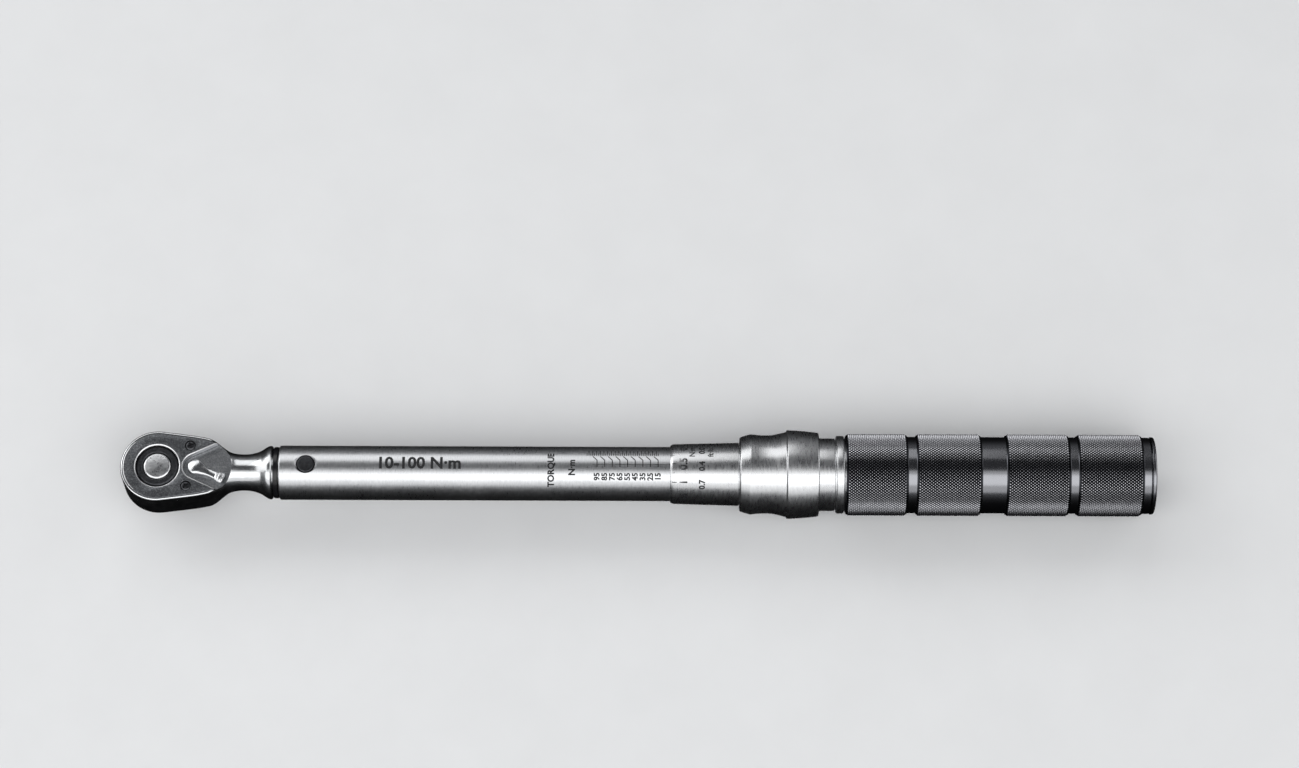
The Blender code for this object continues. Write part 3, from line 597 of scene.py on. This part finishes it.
def make_drive():
    """The ratchet wheel with its hub ring, shoulder and square, in black oxide."""
    teeth, root, tip = 36, 7.65 * MM, 8.5 * MM
    outline = []
    for tooth in range(teeth):
        for radius, offset in ((root, -3.8), (tip, -1.2), (tip, 1.2), (root, 3.8)):
            a = math.radians(360 / teeth * tooth + offset)
            outline.append((radius * math.cos(a), radius * math.sin(a)))
    wheel = piece("drive_wheel", *prism_mesh(outline, 14.0 * MM, 22.6 * MM), "oxide", None)
    hub_low, hub_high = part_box("drive_gear")
    top = hub_high.z
    hub = [(21 * MM, 0), (21 * MM, 7.6 * MM), (top - 0.5 * MM, 7.6 * MM), (top, 7.1 * MM), (top, 0)]
    boss = [(10.8 * MM, 0), (10.8 * MM, 6.2 * MM), (11.3 * MM, 6.7 * MM), (15 * MM, 6.7 * MM), (15 * MM, 0)]
    square = square_mesh(9.53 * MM / 2, 0.8 * MM, hub_low.z, 12 * MM)
    combine(wheel, [round_cutter(hub, steps=128), round_cutter(boss, steps=96), cutter(*square)], "UNION")
    bore = [(16.5 * MM, 0), (16.5 * MM, 5.35 * MM), (top - 0.3 * MM, 5.35 * MM), (top + 0.2 * MM, 5.85 * MM)]
    cuts = [round_cutter(bore + [(top + 0.2 * MM, 0)], steps=96)]
    cuts.append(drill(2.4 * MM, 1.5 * MM, 17 * MM, steps=32))
    ball_low, ball_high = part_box("detent_ball")
    ball_z = (ball_low.z + ball_high.z) / 2
    cuts.append(drill(1.62 * MM, -6 * MM, -1 * MM, "Y", (0, 0, ball_z), 40))
    combine(wheel, cuts)
    return dress(wheel, "oxide", "drive", ["drive_gear"], 35)


def make_button():
    """The polished quick-release button: a shallow dome on a waisted stem."""
    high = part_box("release_button")[1]
    outline = mm([(4.2, 0), (4.2, 2.0), (4.5, 2.2), (5.6, 2.2), (8.1, 1.3), (10.1, 1.3), (11.0, 2.2)])
    outline += mm([(22.3, 2.2)])
    edge, crown, middle = 5.1 * MM, high.z - 0.3 * MM, 4.4
    outline += [(22.3 * MM, edge, 0.1 * MM), (high.z - 0.75 * MM, edge, 0.25 * MM)]
    outline += [(crown, edge - 0.55 * MM, 0.3 * MM)]
    outline += [(high.z - 0.3 * MM * (r / middle) ** 2, r * MM) for r in (4.0, 3.0, 2.0, 1.0, 0.0)]
    verts, faces = lathe_mesh(eased(outline), 96, "Z", (0, 0, 0), closed=False)
    piece("quick_release_button", verts, faces, "button", "button", ["release_button"], "polished_chrome")
    centre = (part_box("detent_ball")[0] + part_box("detent_ball")[1]) / 2
    round_ball("drive_detent_ball", centre, 1.5 * MM, "drive_ball", "detent_ball")


def round_ball(name, centre, radius, body, node):
    """A steel ball."""
    outline = [(centre.z - radius * math.cos(a), radius * math.sin(a)) for a in np.linspace(0, math.pi, 25)]
    outline[0], outline[-1] = (centre.z - radius, 0), (centre.z + radius, 0)
    verts, faces = lathe_mesh([Vector(p) for p in outline], 48, "Z", centre, closed=False)
    return piece(name, verts, faces, "steel", body, [node], "bright_steel", 60)


def make_lever():
    """The reversing lever: a domed hub, a waisted arm that rises to a broad tip, and three thumb ridges."""
    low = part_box("reversing_lever")[0]
    base, rest = FLOOR_Z + 0.3 * MM, math.radians(-24)
    widths = [(0.0, 3.1), (2.6, 2.15), (5.2, 1.55), (7.6, 1.6), (9.2, 2.1), (10.6, 2.3)]
    widths += [(11.3, 1.9), (11.5, 1.2)]
    heights = [(-3.1, 1.2), (0.0, 2.05), (2.6, 1.75), (5.2, 1.5), (7.6, 1.55), (9.2, 1.8), (10.6, 1.9)]
    heights += [(11.3, 1.7), (11.5, 1.3)]
    widths, heights, hub = mm(widths), mm(heights), 3.1 * MM
    ridges_from, ridges_to, ridge_gap, ridge_rise = mm([(8.2, 10.9, 0.9, 0.16)])[0]
    stations = [-hub * math.cos(math.radians(a)) for a in np.linspace(2, 90, 18)]
    stations += list(np.linspace(0.3 * MM, 11.5 * MM, 60))
    rings, per = [], 11
    for x in stations:
        wide = math.sqrt(max(hub**2 - x**2, 0)) if x <= 0 else along_curve(widths, x)
        tall = along_curve(heights, x)
        ridge = 0
        if ridges_from < x < ridges_to:
            ridge = ridge_rise * math.sin(TAU * (x - ridges_from) / ridge_gap)
        ring = []
        for i in range(per):
            a = math.pi * i / (per - 1)
            crown = math.copysign(abs(math.cos(a)) ** 0.55, math.cos(a))
            lift = math.sin(a) ** 0.6
            ring.append((x, wide * crown, base + (tall + ridge * lift) * (0.25 + 0.75 * lift)))
        ring += [(x, -wide * 0.9, base), (x, wide * 0.9, base)]
        rings.append(ring)
    lever = piece("reversing_lever_arm", *skinned(rings), "chrome", None)
    combine(lever, [drill(1.9 * MM, low.z, base + MM, steps=32)], "UNION")
    lever.data.transform(Matrix.Translation((LEVER_X, 0, 0)) @ Matrix.Rotation(rest, 4, "Z"))
    return dress(lever, "chrome", "lever", ["reversing_lever"], 40)


# ---------------------------------------------------------------- tube


def make_tube():
    """The tube: rounded ends, a turned-down ball track, and chamfered holes for the pivot pin."""
    start, end = TUBE_LOW.x, TUBE_HIGH.x
    bore = 8.2 * MM
    outline = [(start, bore, 0.3 * MM), (start, TUBE_R, 0.75 * MM)]
    outline += [(x, TUBE_R) for x in np.linspace(start + 3 * MM, start + 17 * MM, 15)]
    outline += [(x, TUBE_R) for x in np.linspace(start + 30 * MM, 190 * MM, 12)]
    outline += mm([(195.8, 10.05), (196.4, 9.15), (229.0, 9.15), (229.6, 10.05)])
    outline += [(end, TUBE_R, 0.3 * MM), (end, bore)]
    outline += [(x, bore) for x in np.linspace(start + 60 * MM, start + 6 * MM, 6)]
    tube = piece("chrome_tube", *lathe_mesh(eased(outline, True), 144, "X", (0, 0, AXIS_Z)), "tube", None)
    reach, wide = TUBE_R, 3.5 * MM
    for side in (1, -1):
        levels = [(0, 0), (0, wide), (reach - 0.75 * MM, wide), (reach + 0.35 * MM, wide + 1.1 * MM)]
        levels += [(reach + MM, wide + 1.1 * MM), (reach + MM, 0)]
        outline = [(AXIS_Z + side * z, r) for z, r in levels]
        combine(tube, [round_cutter(outline, centre=(PIVOT_X, 0, 0), steps=64)])
    nut_x = sum(v.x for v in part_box("adjuster_nut")) / 2
    low, high = AXIS_Z - 12 * MM, AXIS_Z + 12 * MM
    combine(tube, [drill(1.45 * MM, low, high, centre=(nut_x, 0, 0), steps=24)])
    dress(tube, "tube", "tube", ["tube"], 30)
    top, bottom = PIN_HIGH.z, PIN_LOW.z
    outline = [(bottom, 0), (bottom, 3.15 * MM, 0.5 * MM), (top, 3.15 * MM, 0.5 * MM), (top, 0)]
    verts, faces = lathe_mesh(eased(outline), 64, "Z", (PIVOT_X, 0, 0), closed=False)
    piece("pivot_pin_black", verts, faces, "oxide", "tube", ["pivot_pin"], "black_oxide")
    seal_low, seal_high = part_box("dust_seal")
    wide = (seal_high.z - seal_low.z) / 2
    bore, lip, round_over = 7.6 * MM, 0.1 * MM, 0.45 * MM
    outline = [(seal_low.x, bore, lip), (seal_low.x, wide, round_over)]
    outline += [(seal_high.x, wide, round_over), (seal_high.x, bore, lip)]
    lathe("dust_seal_ring", outline, "rubber", "tube", ["dust_seal"], "rubber")


def wrapped(name, flat, radius_at, finish, body, lift=0.012 * MM, depth=0.03 * MM):
    """Bends a flat mark round the tool. Its x runs along the tool. Its y is the arc from the top to -Y."""
    bm = bmesh.new()
    bm.from_mesh(flat)
    ys, gap = [v.co.y for v in bm.verts], 0.3 * MM
    for level in np.arange(min(ys) + gap, max(ys), gap):
        everything = bm.verts[:] + bm.edges[:] + bm.faces[:]
        bmesh.ops.bisect_plane(bm, geom=everything, plane_co=(0, level, 0), plane_no=(0, 1, 0))
    for v in bm.verts:
        radius = radius_at(v.co.x) + (lift if v.co.z > 0 else lift - depth)
        a = v.co.y / radius_at(v.co.x)
        v.co = Vector((v.co.x, -radius * math.sin(a), AXIS_Z + radius * math.cos(a)))
    bmesh.ops.recalc_face_normals(bm, faces=bm.faces)
    mesh = bpy.data.meshes.new(name)
    bm.to_mesh(mesh)
    bm.free()
    return dress(placed(name, mesh), finish, body, (), 20)


def lettering(text, size, turn, x, arc_y, bold=0.0):
    """Flat extruded letters, centred at (x, arc_y) and turned in the flat."""
    curve = bpy.data.curves.new("letters", "FONT")
    curve.body = text
    curve.size = size
    curve.offset = bold
    curve.extrude = 0.02 * MM
    curve.align_x, curve.align_y = "CENTER", "CENTER"
    curve.resolution_u = 3
    thing = placed("letters", curve)
    graph = bpy.context.evaluated_depsgraph_get()
    mesh = bpy.data.meshes.new_from_object(thing.evaluated_get(graph))
    bpy.data.objects.remove(thing)
    mirror = Matrix.Diagonal((1, -1, 1, 1))
    mesh.transform(Matrix.Translation((x, arc_y, 0)) @ mirror @ Matrix.Rotation(turn, 4, "Z"))
    return mesh


def stroke(one, two, width):
    """A flat extruded line from one point to the other."""
    start, end = Vector(one), Vector(two)
    side = (end - start).orthogonal().normalized() * width / 2
    corners = [start + side, start - side, end - side, end + side]
    verts, faces = prism_mesh([tuple(c) for c in corners], -0.02 * MM, 0.02 * MM)
    mesh = bpy.data.meshes.new("stroke")
    mesh.from_pydata(verts, [], faces)
    return mesh


def joined(meshes):
    """Puts several flat marks in one mesh."""
    bm = bmesh.new()
    for mesh in meshes:
        bm.from_mesh(mesh)
    bmesh.ops.remove_doubles(bm, verts=bm.verts, dist=1e-7)
    mesh = bpy.data.meshes.new("marks")
    bm.to_mesh(mesh)
    bm.free()
    return mesh


def make_tube_scale():
    """The tube's etched scale: an index line, a bent line and number per two turns, and fine divisions."""
    spot, quarter, step = THIMBLE_LOW.x, math.pi / 2, 2.822 * MM
    first = spot - 4.5 * MM
    inner, bend, outer, slant = 1.0 * MM, -1.7 * MM, -3.4 * MM, 1.6 * MM
    marks = [stroke((first - 8.6 * step, 0), (spot + 2 * MM, 0), 0.14 * MM)]
    for i in range(9):
        x = first - i * step
        marks.append(stroke((x, bend), (x, inner), 0.34 * MM))
        marks.append(stroke((x, bend), (x - slant, outer), 0.36 * MM))
        marks.append(lettering(str(15 + 10 * i), 2.9 * MM, quarter, x, 4.6 * MM, 0.11 * MM))
    for i in range(39):
        x = first - i * step / 4 * 0.98
        deep = 6.4 if i % 2 else 5.0
        marks.append(stroke((x, -3.7 * MM), (x, -deep * MM), 0.28 * MM))
    marks.append(lettering("N·m", 3.4 * MM, quarter, spot - 36.3 * MM, 1.2 * MM, 0.13 * MM))
    marks.append(lettering("TORQUE", 3.3 * MM, quarter, spot - 44.0 * MM, 2.0 * MM, 0.13 * MM))
    wrapped("tube_scale_marks", joined(marks), lambda x: TUBE_R, "ink", "tube")
    label = [lettering("10-100 N·m", 6.4 * MM, 0, 97 * MM, -0.2 * MM, 0.2 * MM)]
    wrapped("tube_range_marks", joined(label), lambda x: TUBE_R, "ink", "tube")


# ---------------------------------------------------------------- handle


def thimble_radius(x):
    """The thimble widens slightly towards the grip."""
    low, high = THIMBLE_LOW.x + 0.9 * MM, THIMBLE_HIGH.x
    wide = (THIMBLE_HIGH.z - THIMBLE_LOW.z) / 2
    return 11.05 * MM + (wide - 11.05 * MM) * max(x - low, 0) / (high - low)


def make_thimble():
    """The micrometer thimble, with a bevelled reading edge and ten numbered divisions."""
    start, end = THIMBLE_LOW.x, THIMBLE_HIGH.x
    wide = thimble_radius(end)
    outline = [(start, 10.25 * MM), (start, 10.55 * MM, 0.15 * MM), (start + 1.1 * MM, 11.07 * MM, 0.5 * MM)]
    outline += [(end, wide, 0.25 * MM), (end, 11.1 * MM), (206.2 * MM, 11.1 * MM), (206.2 * MM, 10.25 * MM)]
    lathe("thimble_sleeve", outline, "ring", "handle", ["thimble"], "satin_chrome", 144)
    quarter = math.pi / 2
    marks = []
    for i in range(10):
        radius = thimble_radius(start + 4 * MM)
        arc_y = TAU / 10 * i * radius
        if arc_y > math.pi * radius:
            arc_y -= TAU * radius
        marks.append(stroke((start + 0.7 * MM, arc_y), (start + 2.4 * MM, arc_y), 0.3 * MM))
        newton = f"{(i + 1) % 10 * 0.5:g}"
        pound = f"{(i + 1) % 10 * 0.369:.1f}"
        marks.append(lettering(newton, 3.9 * MM, quarter, start + 5.0 * MM, arc_y, 0.15 * MM))
        marks.append(lettering(pound, 3.0 * MM, quarter, start + 11.8 * MM, arc_y + 1.0 * MM, 0.12 * MM))
        middle = arc_y + TAU / 20 * radius
        marks.append(stroke((start + 0.7 * MM, middle), (start + 1.6 * MM, middle), 0.14 * MM))
    marks.append(lettering("N·m", 2.9 * MM, quarter, start + 8.2 * MM, -5.4 * MM, 0.07 * MM))
    marks.append(lettering("ft·lb", 2.9 * MM, quarter, start + 15.0 * MM, -5.0 * MM, 0.07 * MM))
    wrapped("thimble_scale_marks", joined(marks), thimble_radius, "ink", "handle")


def make_lock_ring():
    """The spool-shaped lock ring."""
    s, e = RING_LOW.x / MM, RING_HIGH.x / MM
    outer = [(s, 13.4, 0.12), (s + 0.35, 13.85, 0.25), (s + 3.6, 14.8, 0.3), (s + 4.0, 14.9, 0.35)]
    outer += [(s + 7.8, 14.5, 2.0), (s + 11.8, 14.45, 2.0), (s + 14.8, 15.2, 1.6), (s + 16.6, 15.65, 0.9)]
    outer += [(s + 17.2, 15.7, 0.25), (s + 17.6, 16.5, 0.3), (s + 23.4, 16.15, 2.0)]
    outer += [(e - 0.35, 15.55, 0.3), (e, 15.2, 0.12)]
    bore = [(e, 13.65, 0.1), (229.3, 13.65), (229.0, 12.35), (226.0, 12.35), (221.0, 13.25)]
    bore += [(219.2, 13.25), (219.2, 11.45), (s, 11.45, 0.1)]
    lathe("pull_back_lock_ring", mm(outer + bore), "ring", "ring", ["lock_ring"], "satin_chrome", 160)


def make_sleeve():
    """The inner sleeve that shows behind the lock ring, with its groove and flange."""
    s = SLEEVE_LOW.x / MM
    outline = [(s, 10.25), (s, 10.85, 0.1), (215.45, 10.85), (215.45, 11.25), (240.3, 11.25)]
    outline += [(240.3, 13.45, 0.2), (250.8, 13.45, 0.25), (250.9, 12.9, 0.05), (251.4, 12.9, 0.05)]
    outline += [(251.4, 14.4, 0.4), (254.1, 14.4, 0.45), (254.4, 13.6, 0.2), (254.4, 12.1)]
    outline += [(278.0, 12.1), (278.0, 10.25)]
    verts, faces = lathe_mesh(eased(mm(outline), True), 128, "X", (0, 0, AXIS_Z))
    sleeve = piece("inner_sleeve", verts, faces, "ring", None)
    ball_x = sum(v.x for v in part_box("lock_ball_1")) / 2
    combine(sleeve, [drill(1.65 * MM, -14 * MM, 14 * MM, "Y", (ball_x, 0, AXIS_Z), 32)])
    return dress(sleeve, "ring", "handle", ["lock_sleeve"])


def knurl_strip(bm, rows, columns, start, pitch, low, high, top_share):
    """One band of cut-off diamonds between crossing grooves. Returns its first and last rings of corners."""
    grid = {}
    half = pitch / 2

    def at(x, k, radius):
        a = TAU * k / columns
        return bm.verts.new((x, -radius * math.sin(a), AXIS_Z + radius * math.cos(a)))

    for i in range(rows + 1):
        for k in range(columns):
            if (i + k) % 2 == 0 or i in (0, rows):
                grid[i, k] = at(start + i * half, k, low)
    for i in range(rows + 1):
        for k in range(columns):
            if (i + k) % 2 == 0:
                continue
            left, right = (i, (k - 1) % columns), (i, (k + 1) % columns)
            if i in (0, rows):
                apex = grid[1 if i == 0 else rows - 1, k]
                bm.faces.new((grid[left], grid[i, k], apex))
                bm.faces.new((grid[i, k], grid[right], apex))
                continue
            corners = [grid[left], grid[i + 1, k], grid[right], grid[i - 1, k]]
            spots = [(i, k - 1), (i + 1, k), (i, k + 1), (i - 1, k)]
            tops = []
            for si, sk in spots:
                along = start + (i + (si - i) * top_share) * half
                tops.append(at(along, k + (sk - k) * top_share, high))
            for n in range(4):
                m = (n + 1) % 4
                bm.faces.new((corners[n], corners[m], tops[m], tops[n]))
            bm.faces.new(tops)
    first = [grid[0, k] for k in range(columns)]
    last = [grid[rows, k] for k in range(columns)]
    return first, last


def make_grip():
    """The grip: four bands of real diamond knurling between smooth grooves, on a plain bore."""
    columns = 172
    pitch, low, high = 1.37 * MM, 14.72 * MM, (GRIP_HIGH.z - GRIP_LOW.z) / 2
    groove, bore = 14.15 * MM, 12.4 * MM
    bands = mm([(254.8, 277.8), (280.8, 305.1), (313.9, 337.7), (340.4, 364.7)])
    bm = bmesh.new()

    def ring(x, radius):
        angles = [TAU * k / columns for k in range(columns)]
        return [bm.verts.new((x, -radius * math.sin(a), AXIS_Z + radius * math.cos(a))) for a in angles]

    def bridge(one, two):
        for k in range(columns):
            m = (k + 1) % columns
            bm.faces.new((one[k], one[m], two[m], two[k]))

    def follow(previous, steps):
        for x, radius in steps:
            after = ring(x, radius)
            bridge(previous, after)
            previous = after
        return previous

    opening = ring(GRIP_LOW.x, bore)
    previous = opening
    margin, foot, share = 0.45 * MM, low - 0.12 * MM, 0.4
    for start, end in bands:
        rows = int(round((end - start - 2 * margin) / (pitch / 2)))
        edge = (end - start - rows * pitch / 2) / 2
        previous = follow(previous, [(start, groove), (start + edge * share, foot)])
        first, last = knurl_strip(bm, rows, columns, start + edge, pitch, low, high, 0.16)
        bridge(previous, first)
        previous = follow(last, [(end - edge * share, foot), (end, groove)])
    end, chamfer = GRIP_HIGH.x, 0.4 * MM
    previous = follow(previous, [(end - chamfer, groove), (end, groove - chamfer), (end, bore)])
    bridge(previous, opening)
    mesh = bpy.data.meshes.new("knurled_grip")
    bm.to_mesh(mesh)
    bm.free()
    return dress(placed("knurled_grip", mesh), "grip", "handle", ["grip"], 20)


def make_end():
    """The end cap, with a turned rim and a hexagon-socket screw sunk in it."""
    e = CAP_HIGH.x / MM
    cap = [(347.0, 4.3), (347.0, 12.1, 0.3), (e - 1.3, 12.1), (e - 1.3, 14.4, 0.2), (e, 14.3, 0.7)]
    cap += [(e, 9.6, 0.4), (e - 0.8, 9.0, 0.4), (e - 0.8, 6.0, 0.3), (e - 0.2, 5.6, 0.2), (e - 0.4, 5.2, 0.2)]
    cap += [(363.3, 5.2), (363.3, 2.6), (360.4, 2.6), (360.4, 4.3)]
    lathe("end_cap_turned", mm(cap), "grip", "handle", ["end_cap"], "black_aluminium", 144)
    outline = mm([(347.0, 0), (347.0, 2.3), (363.6, 2.3), (363.6, 4.7, 0.3), (367.9, 4.7, 0.5), (367.9, 0)])
    verts, faces = lathe_mesh(eased(outline), 96, "X", (0, 0, AXIS_Z), closed=False)
    screw = piece("end_screw_socket", verts, faces, "steel", None)
    key = drill(2.5 * MM, 365.2 * MM, 369 * MM, "X", (0, 0, AXIS_Z), 6)
    combine(screw, [key])
    return dress(screw, "steel", "handle", ["end_screw"])


# ---------------------------------------------------------------- inside


def coil_mesh(wire, mean, low, high, turns, axis, centre):
    """A round-wire compression spring with close, squared end turns."""
    per_turn, sides = 40, 12
    close = 2.15 * wire
    active = (high - low - 2 * wire - 2 * close) / (turns - 2)
    verts, faces = [], []
    total = turns * per_turn
    for i in range(total + 1):
        t = i / per_turn
        closed_turns = min(t, 1) + max(t - turns + 1, 0)
        along = low + wire + closed_turns * close + min(max(t - 1, 0), turns - 2) * active
        c, s = math.cos(TAU * t), math.sin(TAU * t)
        for k in range(sides):
            a = TAU * k / sides
            radius, rise = mean + wire * math.cos(a), along + wire * math.sin(a)
            if axis == "X":
                verts.append((rise, centre[1] + radius * c, centre[2] + radius * s))
            else:
                verts.append((centre[0] + radius * c, centre[1] + radius * s, rise))
    for i in range(total):
        for k in range(sides):
            m = (k + 1) % sides
            faces.append((i * sides + k, i * sides + m, (i + 1) * sides + m, (i + 1) * sides + k))
    faces += [tuple(range(sides)), tuple(range(len(verts) - 1, len(verts) - 1 - sides, -1))]
    return verts, faces


def make_springs():
    """The springs, each a coil of round wire in place of its part."""
    plans = [
        ("main_spring", 1.5, 5.9, 13, "X", "tube", "setting_advance", 28.2),
        ("lock_spring", 0.6, 12.5, 4, "X", "handle", "lock_slide", 5.0),
        ("button_spring", 0.3, 4.2, 4, "Z", "drive", "button_press", 2.5),
    ]
    for node, wire, mean, turns, axis, body, joint, travel in plans:
        low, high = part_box(node)
        along = 0 if axis == "X" else 2
        start, end = low[along], high[along]
        centre = ((low.x + high.x) / 2, 0, AXIS_Z) if axis == "X" else (0, 0, 0)
        verts, faces = coil_mesh(wire * MM, mean * MM, start, end, turns, axis, centre)
        spring = piece(node + "_coil", verts, faces, "spring", body, [node], "spring_steel", 50)
        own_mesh(spring)


def dress_inner_parts():
    """The hidden CAD parts keep their shapes and get their metals."""
    metals = {
        "pawl": "spring", "pawl_spring": "spring", "tilt_block": "steel", "plunger": "spring",
        "spring_seat": "steel", "adjusting_screw": "steel", "adjuster_nut": "bronze",
        "nut_pin_1": "spring", "nut_pin_2": "spring",
    }
    for node, metal in metals.items():
        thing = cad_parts[node]
        thing.data.materials.clear()
        thing.data.materials.append(FINISH[metal])
    balls = {"thrust_ball": "spring_carrier", "pawl_ball": "head"}
    balls |= {"lock_ball_1": "ring_ball_1", "lock_ball_2": "ring_ball_2"}
    for node, body in balls.items():
        low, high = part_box(node)
        round_ball(node + "_steel", (low + high) / 2, (high.z - low.z) / 2, body, node)


# ---------------------------------------------------------------- studio


def make_floor():
    """A wide pale floor that touches the drive's tip and the lock ring's rear band. It's hidden from mirror
    reflections, so the chrome's lower sides reflect the dark sky below."""
    band_x, band_r, gap, half = 233.1 * MM, 16.55 * MM, 0.03 * MM, 6.0
    slope = (AXIS_Z - band_r) / band_x
    corners = ((-half, -half), (half, -half), (half, half), (-half, half))
    verts = [(x, y, slope * x - gap) for x, y in corners]
    mesh = bpy.data.meshes.new("studio_floor")
    mesh.from_pydata(verts, [], [(0, 1, 2, 3)])
    floor = placed("studio_floor", mesh)
    mesh.materials.append(FINISH["floor"])
    floor.visible_glossy = False


def soft_box(name, lean, distance, wide, long, glow, turn=0.0, middle=182 * MM):
    """A rectangular lamp above the tool, whose own brightness is its glow. Its lean is the angle from
    straight up towards the viewer's side (-Y), and its turn then swings it round Z. Lengths are in metres."""
    lamp = bpy.data.lights.new(name, "AREA")
    lamp.shape = "RECTANGLE"
    lamp.size, lamp.size_y = long, wide
    lamp.energy = glow * math.pi * wide * long
    swing = Matrix.Rotation(math.radians(turn), 4, "Z")
    stand = Matrix.Translation((middle, 0, AXIS_Z)) @ swing @ Matrix.Rotation(math.radians(lean), 4, "X")
    placed(name, lamp).matrix_world = stand @ Matrix.Translation((0, 0, distance))


def make_lights():
    """Soft boxes on both sides draw the bright bands along the tube. The sky is dim above and dark below."""
    soft_box("near_box", 35, 2.2, 1.3, 9.0, 1.0)
    soft_box("near_scrim", 41, 2.25, 3.0, 9.0, 0.9)
    soft_box("far_box", -48, 2.0, 1.2, 5.0, 1.35, middle=-2.08)
    soft_box("head_panel", 62, 1.7, 1.2, 1.5, 1.3, -113, 0.0)
    soft_box("end_panel", 62, 1.7, 1.2, 1.5, 1.0, 113, 360 * MM)
    world = bpy.data.worlds.new("studio")
    bpy.context.scene.world = world
    world.use_nodes = True
    tree = world.node_tree
    where = add(tree, "TexCoord").outputs["Generated"]
    height = add(tree, "SeparateXYZ", links={0: where}).outputs["Z"]
    place = add(tree, "MapRange", {"From Min": -1.0, "From Max": 1.0}, {"Value": height})
    stops = [(0.0, "#070708"), (0.3, "#161617"), (0.42, "#2c2d2e"), (0.52, "#505153"), (0.62, "#727375")]
    stops += [(0.8, "#57585a"), (1.0, "#414244")]
    glow = add(tree, "ValToRGB", {"stops": stops}, {"Fac": place})
    tree.links.new(glow.outputs[0], tree.nodes["Background"].inputs["Color"])


def make_camera():
    """A long lens above the tool, on its near side, tipped so that the tool lies below the middle."""
    view, tilt, roll = math.radians(69.5), math.radians(1.261), math.radians(0.21)
    distance, middle_x = 1.5198, 182.1 * MM
    camera = bpy.data.cameras.new("camera")
    camera.sensor_width, camera.lens = 36.0, 113.35
    camera.clip_start, camera.clip_end = 0.05, 50.0
    thing = placed("camera", camera)
    away = Vector((0, -math.cos(view), math.sin(view)))
    thing.location = Vector((middle_x, 0, AXIS_Z)) + away * distance
    thing.rotation_euler = (math.pi / 2 - (view - tilt), 0, 0)
    thing.rotation_euler.rotate_axis("Z", roll)
    bpy.context.scene.camera = thing
    bpy.context.scene.view_settings.view_transform = "Standard"


make_camera()
make_head()
make_plate()
make_screws()
make_drive()
make_button()
make_lever()
make_tube()
make_tube_scale()
make_thimble()
make_lock_ring()
make_sleeve()
make_grip()
make_end()
make_springs()
dress_inner_parts()
make_floor()
make_lights()
